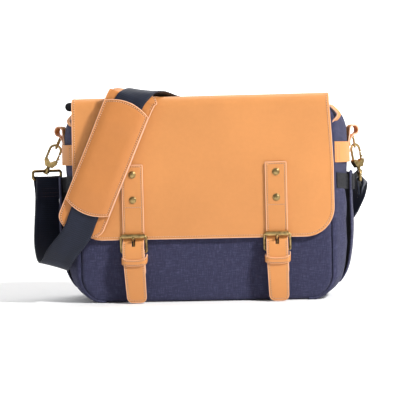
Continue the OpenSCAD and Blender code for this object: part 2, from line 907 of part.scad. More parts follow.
// The base follows the webbing, with more room where both twist over the flap's front edge
module pad_base() {
  route = smoothed(strap_front_route, 2);
  near = shifted(route, pad_gap + 1.5);
  far = shifted(route, pad_gap + 3.9);
  color(leather) ribbon([for (i = [6:17]) i < 12 ? near[i] : far[i]], pad_w, pad_base_thick, 1);
}

module pad_cover() {
  off = pad_gap + 1.3;
  color(leather) ribbon([pad_at(4, 0, off), pad_at(80, 0, off + 0.4), pad_at(158, 0, off)], pad_w, 2.6, 1);
}

// Three-bar slider on the straight rear stretch of the webbing
glide_at = [-3, rear_y, 205];
glide_lean = atan2(20, 50);
module strap_slider() {
  color(black) translate(glide_at) rotate([0, -glide_lean, 0]) {
    translate([0, 2.6, 0]) wire_loop(web_w + 8, 26, 1.5, 3);
    for (s = [-1, 1])
      bar([s * (web_w / 2 + 4), 2.6, 0], [s * (web_w / 2 + 4), -2.8, 0], 1.4);
    bar([-web_w / 2 - 4, -2.8, 0], [web_w / 2 + 4, -2.8, 0], 1.4);
  }
}

// ---- nodes ---------------------------------------------------------------------------------

front_panel();
back_panel();
left_gusset();
right_gusset();
base_panel();
front_lining();
back_lining();
padded_divider();
left_side_band();
right_side_band();
left_hook_loop();
right_hook_loop();
left_pull_loop();
right_pull_loop();
left_pocket();
right_pocket();
left_pocket_gusset();
right_pocket_gusset();
left_pocket_strap();
right_pocket_strap();
zip_front_tape();
zip_back_tape();
zip_slider();
zip_pull();
zip_end_tab();
flap_hinge_strip();
strap_rear();
strap_left_leg();
left_tie_ring();
right_tie_ring();
left_ring();
right_ring();
left_snap_socket();
right_snap_socket();
flap();
flap_lining();
left_closure_strap();
right_closure_strap();
left_rivets();
right_rivets();
left_buckle_frame();
right_buckle_frame();
left_roller();
right_roller();
left_prong();
right_prong();
left_chape();
right_chape();
left_keeper();
right_keeper();
left_snap_stud();
right_snap_stud();
strap_front();
pad_base();
pad_cover();
left_hook();
right_hook();
left_hook_gate();
right_hook_gate();
strap_slider();
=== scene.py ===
"""A navy canvas messenger bag with a tan leather flap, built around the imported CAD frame.

Shapes are worked out in millimetres and turned into metres when a mesh is made.
"""

import json
import math

import bpy
import numpy as np
from mathutils import Matrix, Vector, noise


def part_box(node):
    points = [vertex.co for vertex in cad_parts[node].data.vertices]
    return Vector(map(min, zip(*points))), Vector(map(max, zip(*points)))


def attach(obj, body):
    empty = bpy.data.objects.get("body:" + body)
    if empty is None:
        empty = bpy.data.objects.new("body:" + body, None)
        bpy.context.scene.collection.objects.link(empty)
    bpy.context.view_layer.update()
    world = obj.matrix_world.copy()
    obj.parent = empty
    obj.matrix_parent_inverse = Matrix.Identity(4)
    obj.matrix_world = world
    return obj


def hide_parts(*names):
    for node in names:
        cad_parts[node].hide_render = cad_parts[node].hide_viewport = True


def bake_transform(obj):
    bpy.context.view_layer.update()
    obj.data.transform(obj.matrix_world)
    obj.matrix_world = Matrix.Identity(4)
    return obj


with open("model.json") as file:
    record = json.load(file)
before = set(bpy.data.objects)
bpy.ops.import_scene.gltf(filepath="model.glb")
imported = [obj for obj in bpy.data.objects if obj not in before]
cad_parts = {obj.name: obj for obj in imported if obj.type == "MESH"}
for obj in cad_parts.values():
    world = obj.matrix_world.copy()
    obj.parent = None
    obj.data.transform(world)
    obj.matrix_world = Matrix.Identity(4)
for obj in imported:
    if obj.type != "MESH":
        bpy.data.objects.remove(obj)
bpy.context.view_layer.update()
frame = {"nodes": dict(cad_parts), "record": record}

MM = 0.001
LEFT, RIGHT = -1, 1
SIDES = ((LEFT, "left"), (RIGHT, "right"))


def box(node):
    """Lowest and highest corner of a frame node, in millimetres."""
    low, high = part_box(node)
    return np.array(low) / MM, np.array(high) / MM

def centre_of(node):
    low, high = box(node)
    return (low + high) / 2

def side_reach(node, side):
    """How far a node on one side of the bag reaches from the middle."""
    low, high = box(node)
    return high[0] if side > 0 else -low[0]


# ---- camera -----------------------------------------------------------------

CAMERA_AZIMUTH = math.radians(3.78)
CAMERA_ELEVATION = math.radians(2.03)
CAMERA_ROLL = math.radians(-1.396)
CAMERA_DISTANCE = 1.897
CAMERA_TARGET = Vector((-0.01035, 0, 0.1298))
CAMERA_LENS = 126.4


def make_camera():
    a, e = CAMERA_AZIMUTH, CAMERA_ELEVATION
    forward = Vector((-math.sin(a) * math.cos(e), math.cos(a) * math.cos(e), -math.sin(e)))
    right = Vector((math.cos(a), math.sin(a), 0))
    up = right.cross(forward)
    turned = right * math.cos(CAMERA_ROLL) + up * math.sin(CAMERA_ROLL)
    upright = up * math.cos(CAMERA_ROLL) - right * math.sin(CAMERA_ROLL)
    data = bpy.data.cameras.new("camera")
    data.lens = CAMERA_LENS
    data.sensor_width = 36
    data.clip_end = 50
    camera = bpy.data.objects.new("camera", data)
    bpy.context.scene.collection.objects.link(camera)
    place = Matrix((turned, upright, -forward)).transposed().to_4x4()
    place.translation = CAMERA_TARGET - forward * CAMERA_DISTANCE
    camera.matrix_world = place
    bpy.context.scene.camera = camera


# ---- materials --------------------------------------------------------------

class Nodes:
    """Short ways to add and join the shader nodes of one material."""

    def __init__(self, name, color, roughness, metallic=0.0, specular=0.5):
        self.material = bpy.data.materials.new(name)
        self.material.use_nodes = True
        self.tree = self.material.node_tree
        self.shader = self.tree.nodes["Principled BSDF"]
        self.shader.inputs["Base Color"].default_value = (*color, 1)
        self.shader.inputs["Roughness"].default_value = roughness
        self.shader.inputs["Metallic"].default_value = metallic
        self.shader.inputs["Specular IOR Level"].default_value = specular
        self.coords = self.tree.nodes.new("ShaderNodeTexCoord")
        self.material.diffuse_color = (*color, 1)

    def add(self, kind, **values):
        node = self.tree.nodes.new(kind)
        for key, value in values.items():
            if hasattr(node, key):
                setattr(node, key, value)
            else:
                node.inputs[key.replace("_", " ")].default_value = value
        return node

    def link(self, a, b):
        self.tree.links.new(a, b)

    def place(self, source="Object", scale=(1, 1, 1)):
        """Texture coordinates from one output, stretched by scale per metre."""
        mapping = self.add("ShaderNodeMapping")
        mapping.inputs["Scale"].default_value = scale
        self.link(self.coords.outputs[source], mapping.inputs["Vector"])
        return mapping.outputs["Vector"]

    def noise(self, vector, scale, detail=3.0, rough=0.5):
        node = self.add("ShaderNodeTexNoise", Scale=scale, Detail=detail, Roughness=rough)
        self.link(vector, node.inputs["Vector"])
        return node.outputs["Fac"]

    def wave(self, vector, scale, direction="X", distortion=0.0, detail_scale=1.0):
        node = self.add("ShaderNodeTexWave", Scale=scale, Distortion=distortion)
        node.bands_direction = direction
        node.inputs["Detail Scale"].default_value = detail_scale
        self.link(vector, node.inputs["Vector"])
        return node.outputs["Fac"]

    def ramp(self, value, stops):
        node = self.add("ShaderNodeValToRGB")
        elements = node.color_ramp.elements
        while len(elements) < len(stops):
            elements.new(0.5)
        for element, (position, color) in zip(elements, stops):
            element.position = position
            element.color = (*color, 1)
        self.link(value, node.inputs["Fac"])
        return node.outputs["Color"]

    def math(self, operation, a, b):
        node = self.add("ShaderNodeMath", operation=operation)
        for socket, value in zip(node.inputs, (a, b)):
            if isinstance(value, (int, float)):
                socket.default_value = value
            else:
                self.link(value, socket)
        return node.outputs["Value"]

    def mix(self, factor, a, b, blend="MIX"):
        node = self.add("ShaderNodeMix", data_type="RGBA", blend_type=blend)
        for socket, value in zip((node.inputs[0], node.inputs[6], node.inputs[7]), (factor, a, b)):
            if isinstance(value, (int, float)):
                socket.default_value = value
            elif isinstance(value, tuple):
                socket.default_value = (*value, 1)
            else:
                self.link(value, socket)
        return node.outputs[2]

    def color(self, output):
        self.link(output, self.shader.inputs["Base Color"])

    def roughness(self, value, low, high):
        node = self.add("ShaderNodeMapRange", To_Min=low, To_Max=high)
        self.link(value, node.inputs["Value"])
        self.link(node.outputs["Result"], self.shader.inputs["Roughness"])

    def bump(self, height, distance, strength=1.0):
        node = self.add("ShaderNodeBump", Distance=distance, Strength=strength)
        self.link(height, node.inputs["Height"])
        if self.shader.inputs["Normal"].is_linked:
            self.link(self.shader.inputs["Normal"].links[0].from_socket, node.inputs["Normal"])
        self.link(node.outputs["Normal"], self.shader.inputs["Normal"])


def shade(color, factor):
    return tuple(min(1.0, c * factor) for c in color)


def leather_material(name, color, grain=0.00009):
    """Smooth tanned leather: slow colour drift, fine mottling and a pebbled grain."""
    m = Nodes(name, color, 0.45, specular=0.35)
    where = m.place()
    drift = m.ramp(m.noise(where, 11, 2, 0.5), [(0.3, shade(color, 0.93)), (0.72, shade(color, 1.05))])
    mottle = m.ramp(m.noise(where, 170, 4, 0.6), [(0.35, (0.93, 0.92, 0.91)), (0.65, (1, 1, 1))])
    m.color(m.mix(0.4, drift, mottle, "MULTIPLY"))
    cells = m.add("ShaderNodeTexVoronoi", Scale=820.0)
    m.link(where, cells.inputs["Vector"])
    m.bump(cells.outputs["Distance"], grain, 0.5)
    m.bump(m.noise(where, 260, 4, 0.6), grain * 2.2, 0.35)
    m.roughness(m.noise(where, 90, 3, 0.5), 0.36, 0.56)
    return m.material


def edge_material(name, color):
    """The pale cut edge of a leather strap, with loose fibres."""
    m = Nodes(name, color, 0.8, specular=0.2)
    where = m.place()
    fibre = m.noise(where, 420, 4, 0.65)
    m.color(m.ramp(fibre, [(0.3, shade(color, 0.8)), (0.7, shade(color, 1.08))]))
    m.bump(fibre, 0.00015, 0.6)
    return m.material


def weave_material(name, color, thread, pitch, depth, sheen):
    """Plain weave on UVs in metres: crossing threads of uneven thickness and colour."""
    m = Nodes(name, color, 0.85, specular=0.15)
    across = m.place("UV")
    count = 1 / (2 * pitch) / 3.183
    warp = m.wave(across, count * 10, "X", 0.6, 2)
    weft = m.wave(across, count * 10, "Y", 0.6, 2)
    cloth = m.math("MULTIPLY", m.math("ADD", warp, weft), 0.5)
    slub_x = m.noise(m.place("UV", (90, 900, 1)), 1.0, 2, 0.6)
    slub_y = m.noise(m.place("UV", (900, 90, 1)), 1.0, 2, 0.6)
    slub = m.math("MULTIPLY", m.math("ADD", slub_x, slub_y), 0.5)
    uneven = m.ramp(slub, [(0.36, shade(color, 0.72)), (0.5, color), (0.64, thread)])
    woven = m.ramp(cloth, [(0.1, shade(color, 0.55)), (0.75, thread)])
    patches = m.ramp(m.noise(m.place(), 16, 3, 0.5), [(0.3, (0.86, 0.86, 0.88)), (0.7, (1, 1, 1))])
    m.color(m.mix(0.6, m.mix(0.5, woven, uneven), patches, "MULTIPLY"))
    m.bump(cloth, depth, 0.8)
    m.bump(slub, depth * 1.6, 0.5)
    m.shader.inputs["Sheen Weight"].default_value = sheen
    m.shader.inputs["Sheen Roughness"].default_value = 0.5
    return m.material


def webbing_material(name, color, thread):
    """Ribbed strap webbing on UVs in metres: fine ribs across and a faint run of lengthwise cords."""
    m = Nodes(name, color, 0.55, specular=0.3)
    flat = m.place("UV")
    ribs = m.wave(flat, 118, "Y", 0.5, 3)
    cords = m.wave(flat, 150, "X", 0.3, 2)
    both = m.math("MULTIPLY", m.math("ADD", ribs, m.math("MULTIPLY", cords, 0.6)), 0.62)
    uneven = m.noise(m.place("UV", (60, 18, 1)), 1.0, 3, 0.6)
    drift = m.ramp(uneven, [(0.3, shade(color, 0.8)), (0.7, thread)])
    lines = m.ramp(both, [(0.15, shade(color, 0.6)), (0.8, thread)])
    m.color(m.mix(0.5, lines, drift))
    m.bump(both, 0.00018, 0.7)
    m.shader.inputs["Sheen Weight"].default_value = 0.1
    return m.material


def brass_material(name, color, dark):
    """Antique brass: bright on rubbed faces, browned where it is rarely touched, finely scratched."""
    m = Nodes(name, color, 0.34, metallic=1.0)
    where = m.place()
    tarnish = m.noise(where, 210, 5, 0.65)
    rubbed = m.math("MULTIPLY", m.add("ShaderNodeNewGeometry").outputs["Pointiness"], 0.35)
    worn = m.math("ADD", m.math("MULTIPLY", tarnish, 0.7), rubbed)
    m.color(m.ramp(worn, [(0.36, dark), (0.5, shade(color, 0.7)), (0.66, shade(color, 1.25))]))
    m.roughness(tarnish, 0.26, 0.5)
    m.bump(m.noise(where, 900, 3, 0.6), 0.00005, 0.4)
    return m.material


def plain_cloth(name, color, scale=700, bump=0.0001):
    """Close-napped cloth or suede."""
    m = Nodes(name, color, 0.8, specular=0.2)
    where = m.place()
    nap = m.noise(where, scale, 4, 0.65)
    m.color(m.ramp(nap, [(0.3, shade(color, 0.7)), (0.7, shade(color, 1.3))]))
    m.bump(nap, bump, 0.6)
    m.shader.inputs["Sheen Weight"].default_value = 0.2
    return m.material


def satin_paint(name, color):
    m = Nodes(name, color, 0.4)
    where = m.place()
    haze = m.noise(where, 300, 3, 0.5)
    m.roughness(haze, 0.32, 0.5)
    m.color(m.ramp(haze, [(0.3, shade(color, 0.8)), (0.7, shade(color, 1.3))]))
    m.bump(m.noise(where, 1200, 2, 0.5), 0.00003, 0.4)
    return m.material


TAN = (0.64, 0.268, 0.084)
# The pad's tan is TAN darkened: painted shade for the pad, which is lit less than the flap
PAD_TAN_SHADED = (0.56, 0.215, 0.06)
NAVY = (0.024, 0.025, 0.062)
NAVY_THREAD = (0.084, 0.085, 0.165)

leather = leather_material("leather", TAN)
raw_edge = edge_material("raw_edge", (0.87, 0.51, 0.34))
leather_back = plain_cloth("leather_back", (0.42, 0.2, 0.09), 500)
canvas = weave_material("canvas", NAVY, NAVY_THREAD, 0.0009, 0.00022, 0.08)
# A darker copy of the leather for the pad: painted shade
pad_leather_shaded = leather_material("pad_leather_shaded", PAD_TAN_SHADED)
webbing = webbing_material("webbing", (0.004, 0.006, 0.015), (0.0115, 0.016, 0.036))
brass = brass_material("brass", (0.46, 0.33, 0.14), (0.10, 0.064, 0.028))
black_fabric = weave_material("black_fabric", (0.012, 0.012, 0.015), (0.03, 0.03, 0.036), 0.0008, 0.0002, 0.1)
lining = plain_cloth("lining", (0.12, 0.13, 0.15))
black_metal = satin_paint("black_metal", (0.02, 0.02, 0.022))
pale_thread = edge_material("pale_thread", (0.86, 0.58, 0.40))
dark_thread = edge_material("dark_thread", (0.03, 0.034, 0.07))
# Dark brown dots at the needle holes: painted shade in the holes
needle_hole_shade = plain_cloth("needle_hole_shade", (0.07, 0.025, 0.012), 900, 0.00002)


# ---- meshes -----------------------------------------------------------------

def new_piece(name, points, faces, materials, uv=None, index=None):
    """A mesh object from points in millimetres, with one UV pair a point and a material a face."""
    mesh = bpy.data.meshes.new(name)
    mesh.from_pydata((np.asarray(points, float) * MM).tolist(), [], [list(map(int, f)) for f in faces])
    for material in materials:
        mesh.materials.append(material)
    if uv is not None:
        layer = mesh.uv_layers.new(name="UVMap")
        loops = np.zeros(len(mesh.loops), int)
        mesh.loops.foreach_get("vertex_index", loops)
        layer.data.foreach_set("uv", (np.asarray(uv, float) * MM)[loops].ravel().astype(np.float32))
    if index is not None:
        mesh.polygons.foreach_set("material_index", np.asarray(index, np.int32))
    mesh.polygons.foreach_set("use_smooth", np.ones(len(mesh.polygons), bool))
    mesh.update()
    piece = bpy.data.objects.new(name, mesh)
    bpy.context.scene.collection.objects.link(piece)
    return piece


HARD_EDGE = math.radians(40)
# Size of the dark dots between stitches, which are painted shade of the needle holes
NEEDLE_HOLE_SHADE = 1.1, 0.42


def settle(piece):
    """Applies every modifier, so that the mesh is final, and marks its hard edges."""
    graph = bpy.context.evaluated_depsgraph_get()
    final = bpy.data.meshes.new_from_object(
        piece.evaluated_get(graph), preserve_all_data_layers=True, depsgraph=graph
    )
    piece.modifiers.clear()
    piece.data = final
    final.polygons.foreach_set("use_smooth", np.ones(len(final.polygons), bool))
    final.set_sharp_from_angle(angle=HARD_EDGE)
    return piece


def thicken(piece, thick, edge=0.35):
    """Gives a sheet its thickness, inwards, with softened edges and the cut edge's own material."""
    solid = piece.modifiers.new("thick", "SOLIDIFY")
    solid.thickness = thick * MM
    solid.offset = -1
    solid.use_even_offset = False
    solid.material_offset_rim = 1 if len(piece.data.materials) > 1 else 0
    solid.material_offset = 2 if len(piece.data.materials) > 2 else 0
    if edge:
        bevel = piece.modifiers.new("soft_edge", "BEVEL")
        bevel.width = edge * MM
        bevel.segments = 2
        bevel.limit_method = "ANGLE"
        bevel.angle_limit = math.radians(55)
    return settle(piece)


def belong(piece, body, replaced=(), bend=None):
    """Puts a piece on its body, or bakes its place into its mesh when it is given a bend, and hides the frame
    parts it replaces.
    """
    if bend:
        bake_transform(piece)
    else:
        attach(piece, body)
    if replaced:
        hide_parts(*replaced)
    return piece


def grid_faces(rows, cols, skip=None):
    faces = []
    for i in range(rows - 1):
        for j in range(cols - 1):
            if skip is None or not skip(i, j):
                a = i * cols + j
                faces.append((a, a + 1, a + cols + 1, a + cols))
    return faces


def ring_faces(rows, sides):
    """Faces between rows of points, each row closed on itself."""
    faces = []
    for a in range(0, (rows - 1) * sides, sides):
        for k in range(sides):
            n = (k + 1) % sides
            faces.append((a + k, a + n, a + sides + n, a + sides + k))
    return faces

def end_faces(rows, sides):
    return [tuple(range(sides))[::-1], tuple((rows - 1) * sides + k for k in range(sides))]

def grid_piece(name, grid, uv, materials, skip=None, flip=False, bare=0, open_rows=(0,)):
    """A sheet through a rows by columns by 3 array of points. The outermost cells, bare of them,
    wear the cut edge's material, except along the rows named in open_rows."""
    rows, cols = grid.shape[:2]
    faces = grid_faces(rows, cols, skip)
    index = None
    if bare:
        index = []
        for a, *_ in faces:
            i, j = divmod(a, cols)
            last_row = i >= rows - 1 - bare and 1 not in open_rows
            first_row = i < bare and 0 not in open_rows
            index.append(int(j < bare or j >= cols - 1 - bare or last_row or first_row))
    if flip:
        faces = [f[::-1] for f in faces]
    return new_piece(name, grid.reshape(-1, 3), faces, materials, uv.reshape(-1, 2), index)


def lengths(points):
    """Distance travelled at each point of a line."""
    steps = np.linalg.norm(np.diff(points, axis=0), axis=1)
    return np.concatenate([[0], np.cumsum(steps)])


def at_run(run, values, s):
    """Values known at distances run, read at distances s."""
    return np.stack([np.interp(s, run, column) for column in np.asarray(values).T], axis=-1)

def resample(points, step):
    """The same line with points about step apart."""
    points = np.asarray(points, float)
    run = lengths(points)
    count = max(2, int(round(run[-1] / step)) + 1)
    return at_run(run, points, np.linspace(0, run[-1], count))


def smooth_line(points, steps=8):
    """A Catmull-Rom curve through points of any dimension."""
    p = np.asarray(points, float)
    ends = np.vstack([2 * p[0] - p[1], p, 2 * p[-1] - p[-2]])
    out = []
    for i in range(len(p) - 1):
        a, b, c, d = ends[i:i + 4]
        for k in range(steps):
            u = k / steps
            out.append(0.5 * (2 * b + (c - a) * u + (2 * a - 5 * b + 4 * c - d) * u ** 2
                              + (3 * b - a - 3 * c + d) * u ** 3))
    out.append(p[-1])
    return np.array(out)


def unit(v):
    v = np.asarray(v, float)
    return v / np.maximum(np.linalg.norm(v, axis=-1, keepdims=True), 1e-9)


def arc(cx, cy, r, start, stop, count=8):
    a = np.radians(np.linspace(start, stop, count + 1))
    return np.stack([cx + r * np.cos(a), cy + r * np.sin(a)], axis=1)


def wrinkle(points, scale, amount, seed=0.0):
    """Smooth noise, one value a point, with features about scale millimetres across."""
    shift = Vector((seed, seed * 0.7, -seed))
    flat = np.asarray(points, float).reshape(-1, 3) / scale
    values = np.array([noise.noise(Vector(p) + shift) for p in flat])
    return (values * amount).reshape(np.asarray(points).shape[:-1])


def spread(low, high, step, margins=(0, 0.45, 0.9, 2.2, 3.0, 3.6, 4.4, 6)):
    """Values from low to high about step apart, closer together near both ends."""
    inner = np.linspace(low + 9, high - 9, max(2, int((high - low - 18) / step)))
    return np.concatenate([low + np.array(margins), inner, (high - np.array(margins))[::-1]])


# ---- stitches ---------------------------------------------------------------

def capsule(length, radius):
    """Rings of a short thread that dives at both ends, along x, standing on z = 0."""
    rings = []
    for x, r in ((-0.5, 0.35), (-0.38, 0.9), (0, 1), (0.38, 0.9), (0.5, 0.35)):
        for a in np.linspace(0, 2 * math.pi, 7)[:-1]:
            lift = radius * (0.75 - 2.6 * x * x)
            rings.append((x * length, radius * r * math.cos(a), radius * r * 0.8 * math.sin(a) + lift))
    return np.array(rings), end_faces(5, 6) + ring_faces(5, 6)


def stitch_row(line, normals, pitch=3.1, length=1.9, radius=0.36, sink=0.05):
    """Thread points, and points of dark dots between the threads that are painted shade of the needle holes,
    along a line that lies on a surface.
    """
    run = lengths(line)
    count = max(1, int(run[-1] / pitch))
    middles = (np.arange(count) + 0.5) * run[-1] / count
    centre, normal = at_run(run, line, middles), unit(at_run(run, normals, middles))
    along = unit(at_run(run, line, middles + 0.6) - at_run(run, line, middles - 0.6))
    side = unit(np.cross(normal, along))
    normal = np.cross(along, side)
    thread, shape_faces = capsule(length, radius)
    hole_shade, _ = capsule(*NEEDLE_HOLE_SHADE)
    points, faces, index = [], [], []
    for i in range(count):
        for shape, shift, slot in ((thread, 0, 0), (hole_shade, pitch / 2, 1)):
            base = (2 * i + slot) * len(shape)
            place = centre[i] + along[i] * shift - normal[i] * sink
            points.append(place + shape @ np.stack([along[i], side[i], normal[i]]))
            faces += [tuple(v + base for v in face) for face in shape_faces]
            index += [slot] * len(shape_faces)
    return np.vstack(points), faces, index


def stitches(name, rows, body, slot="leather", thread=None, bend=None, **sizes):
    """One piece that holds several rows of stitches, each a (line, normals) pair."""
    points, faces, index, base = [], [], [], 0
    for line, normals in rows:
        line = np.asarray(line, float)
        normals = np.broadcast_to(np.asarray(normals, float), line.shape)
        p, f, k = stitch_row(line, normals, **sizes)
        points.append(p)
        faces += [tuple(v + base for v in face) for face in f]
        index += k
        base += len(p)
    piece = new_piece(name, np.vstack(points), faces, [thread or pale_thread, needle_hole_shade], index=index)
    return belong(piece, body, bend=bend)


# ---- swept strips -----------------------------------------------------------

def strip_section(width, thick, columns=8, corner=0.4):
    """Outline of a strap's cross-section, and which of its sides are cut edges."""
    w, t, c = width / 2, thick / 2, min(corner, thick * 0.45)
    top = [(x, t) for x in np.linspace(w - c, -w + c, columns)]
    bottom = [(-x, -t) for x, _ in top]
    points = top + [(-w, t - c), (-w, -t + c)] + bottom + [(w, -t + c), (w, t - c)]
    edges = [columns - 1 <= k <= columns + 1 or k >= 2 * columns + 1 for k in range(len(points))]
    return np.array(points), edges


def sweep(name, centre, across, width, thick, materials, columns=8, corner=0.4, sag=None):
    """A flat strap along a line: across is the direction of its width, at each point or for all.
    sag lifts the surface by a function of (row, x)."""
    centre = np.asarray(centre, float)
    across = np.broadcast_to(unit(across), centre.shape)
    normal = unit(np.cross(unit(np.gradient(centre, axis=0)), across))
    section, edges = strip_section(width, thick, columns, corner)
    run = lengths(centre)
    rows, cols = len(centre), len(section)
    around = lengths(np.vstack([section, section[:1]]))[:-1]
    points, uv = [], []
    for i in range(rows):
        lift = 0 if sag is None else np.array([sag(i, x) for x in section[:, 0]])[:, None]
        points.append(centre[i] + section[:, :1] * across[i] + (section[:, 1:] + lift) * normal[i])
        uv.append(np.stack([around, np.full(cols, run[i])], axis=1))
    faces = ring_faces(rows, cols) + end_faces(rows, cols)
    index = [0] * len(faces)
    if len(materials) > 1:
        index = [int(edge) for _ in range(rows - 1) for edge in edges] + [1, 1]
    piece = new_piece(name, np.vstack(points), faces, materials, np.vstack(uv), index)
    piece.data.set_sharp_from_angle(angle=math.radians(50))
    return piece


def tube(line, radius, sides=8):
    """A round bar along a line, closed at both ends."""
    line = np.asarray(line, float)
    along = unit(np.gradient(line, axis=0))
    helper = np.array([0.3, 0.2, 0.93]) if abs(along[0][2]) < 0.9 else np.array([1.0, 0, 0])
    side = unit(np.cross(along[0], helper))
    points = []
    for i in range(len(line)):
        side = unit(side - along[i] * np.dot(side, along[i]))
        other = np.cross(along[i], side)
        for k in range(sides):
            a = 2 * math.pi * k / sides
            points.append(line[i] + radius * (side * math.cos(a) + other * math.sin(a)))
    return np.array(points), ring_faces(len(line), sides) + end_faces(len(line), sides)


def joined(name, parts, materials):
    """One mesh from several (points, faces, material index) parts."""
    points, faces, index, base = [], [], [], 0
    for p, f, k in parts:
        points.append(np.asarray(p, float))
        faces += [tuple(int(v) + base for v in face) for face in f]
        index += [k] * len(f)
        base += len(p)
    piece = new_piece(name, np.vstack(points), faces, materials, index=index)
    piece.data.set_sharp_from_angle(angle=math.radians(50))
    return piece


# ---- the body's form --------------------------------------------------------

FRONT_LOW, FRONT_HIGH = box("front_panel")
FRONT_Y, BACK_Y = FRONT_LOW[1], box("back_panel")[1][1]
PANEL_HALF, BULGE_HALF = FRONT_HIGH[0], box("right_gusset")[1][0]
RIM = FRONT_HIGH[2]
PANEL_CORNER, BULGE_CORNER = 33, 48
PANEL_SHOULDER, BULGE_SHOULDER = 14, 38
BULGE_SHOULDER_Z = RIM - 34
BULGE_RUN = 25


BAND_MIDDLE = centre_of("right_side_band")[2]


def bulge_mix(y):
    """0 at the front and back seams, 1 where the side bulges most."""
    t = np.clip((BACK_Y - 0.5 - np.abs(y)) / (BACK_Y - BULGE_RUN), 0, 1)
    return np.sin(t * math.pi / 2) ** 0.9


def outline(half, low_r, high_r, high_z):
    """Points (x, z) from the middle of the base round to the rim, evenly matched between outlines."""
    stop = math.degrees(math.asin(min(1, (RIM - high_z) / high_r)))
    low = arc(half - low_r, low_r, low_r, -90, 0, 14)
    side = np.stack([np.full(26, half), np.linspace(low_r, high_z, 28)[1:-1]], axis=1)
    top = arc(half - high_r, high_z, high_r, 0, stop, 10)
    return np.vstack([low, side, top])


PANEL_LINE = outline(PANEL_HALF, PANEL_CORNER, PANEL_SHOULDER, RIM - PANEL_SHOULDER)
BULGE_LINE = outline(BULGE_HALF, BULGE_CORNER, BULGE_SHOULDER, BULGE_SHOULDER_Z)
# The bulge draws in towards the base
TAPER_Z, TAPER = 75, 9
BULGE_LINE[:, 0] -= TAPER * np.clip((TAPER_Z - BULGE_LINE[:, 1]) / TAPER_Z, 0, 1) ** 1.4


def side_x(y, z):
    """How far out the side wall stands at a depth and height, by interpolating the two outlines."""
    m = bulge_mix(y)
    panel = np.interp(z, PANEL_LINE[:, 1], PANEL_LINE[:, 0])
    bulge = np.interp(z, BULGE_LINE[:, 1], BULGE_LINE[:, 0])
    return panel * (1 - m) + bulge * m


def on_side(side, y, z, out=0.0):
    """A point standing out from the side wall by out, along the wall's normal."""
    y, z = np.broadcast_arrays(np.asarray(y, float), np.asarray(z, float))
    x = side_x(y, z)
    dy = (side_x(y + 0.5, z) - side_x(y - 0.5, z))
    dz = (side_x(y, z + 0.5) - side_x(y, z - 0.5))
    normal = unit(np.stack([np.ones_like(x), -dy, -dz], axis=-1))
    point = np.stack([x, y, z], axis=-1) + normal * np.asarray(out)[..., None]
    return point * [side, 1, 1], normal * [side, 1, 1]


def panel_half_at(z):
    return np.interp(z, PANEL_LINE[:, 1], PANEL_LINE[:, 0])


def flat_panel(name, y, out, node, swell, seed):
    """The front or back canvas: a swelling sheet whose edges roll in to the side seams."""
    top = RIM - 1
    lows = PANEL_CORNER * (1 - np.cos(np.radians(np.linspace(8, 90, 12)))) + 0.6
    highs = top - np.array([5, 2.5, 0.8, 0])
    zs = np.concatenate([lows, np.linspace(PANEL_CORNER + 4, top - 8, 44), highs])
    us = np.sin(np.linspace(-math.pi / 2, math.pi / 2, 78))
    us = us * 0.35 + np.linspace(-1, 1, 78) * 0.65
    half = panel_half_at(np.maximum(zs, 0.5)) - 1.0
    x = us[None, :] * half[:, None]
    z = np.repeat(zs[:, None], len(us), axis=1)
    edge = np.minimum(half[:, None] - np.abs(x), z - zs[0] + 0.6)
    roll = np.clip(1 - edge / 5.0, 0, 1)
    crown = np.clip(edge / 70, 0, 1) ** 0.5
    flat = np.stack([x, np.zeros_like(x), z], axis=-1)
    waves = wrinkle(flat, 60, 1.1, seed) + wrinkle(flat * [1, 1, 0.5], 22, 0.45, seed + 9)
    depth = (swell * crown + waves * np.clip(edge / 14, 0, 1) - 3.6 * roll ** 2.2)
    y_grid = y + out * depth
    grid = np.stack([x, y_grid, z], axis=-1)
    piece = grid_piece(name, grid, np.stack([x, z], axis=-1), [canvas], flip=out > 0)
    return belong(thicken(piece, 2.2, 0), "bag", [node])


def gusset(side, name):
    """Side wall: bulges between the front and back seams, with shallow creases."""
    ys = spread(FRONT_Y + 1.2, BACK_Y - 1.2, 5.0, (0, 0.5, 1.4, 2.6, 4.2, 6))
    mix = bulge_mix(ys)[:, None, None]
    line = PANEL_LINE[None] * (1 - mix) + BULGE_LINE[None] * mix
    y = np.repeat(ys[:, None], line.shape[1], axis=1)
    grid = np.stack([line[..., 0], y, line[..., 1]], axis=-1)
    tangent_z = unit(np.gradient(grid, axis=1))
    tangent_y = unit(np.gradient(grid, axis=0))
    normal = unit(np.cross(tangent_y, tangent_z))
    inner = np.clip((BACK_Y - np.abs(y)) / 12, 0, 1)
    creases = wrinkle(grid * [1, 0.7, 1.6], 34, 2.2, 3.1 + side) + wrinkle(grid, 13, 0.6, 6.0 + side)
    held = np.clip(1 - np.abs(line[..., 1] - BAND_MIDDLE) / 30, 0, 1) ** 0.5
    creases = np.minimum(creases, 1.2) - held * np.maximum(creases, 0) - 0.4 * held
    pressed = np.clip(1.4 - np.abs(line[..., 1] - 160) / 20, 0, 1)
    creases = creases * (1 - pressed) - 1.4 * pressed
    behind = np.clip((150 - line[..., 1]) / 10, 0, 1) * np.clip(line[..., 1] / 45, 0, 1)
    fold = np.exp(-((np.abs(y) - 47) / 7.0) ** 2)
    creases = creases - 3.6 * behind * np.clip((46 - np.abs(y)) / 12, 0, 1) + 1.8 * behind * fold
    roll = np.clip(1 - (BACK_Y - 1.2 - np.abs(y)) / 3.5, 0, 1)
    low = np.clip(line[..., 1] / 8, 0.15, 1)
    grid = grid + normal * (creases * inner * low - 2.4 * roll ** 2)[..., None]
    grid = grid * [side, 1, 1]
    run = np.repeat(lengths(BULGE_LINE)[None], len(ys), axis=0)
    piece = grid_piece(name, grid, np.stack([y, run], axis=-1), [canvas], flip=side < 0)
    return belong(thicken(piece, 2.2, 0), "bag", [name])


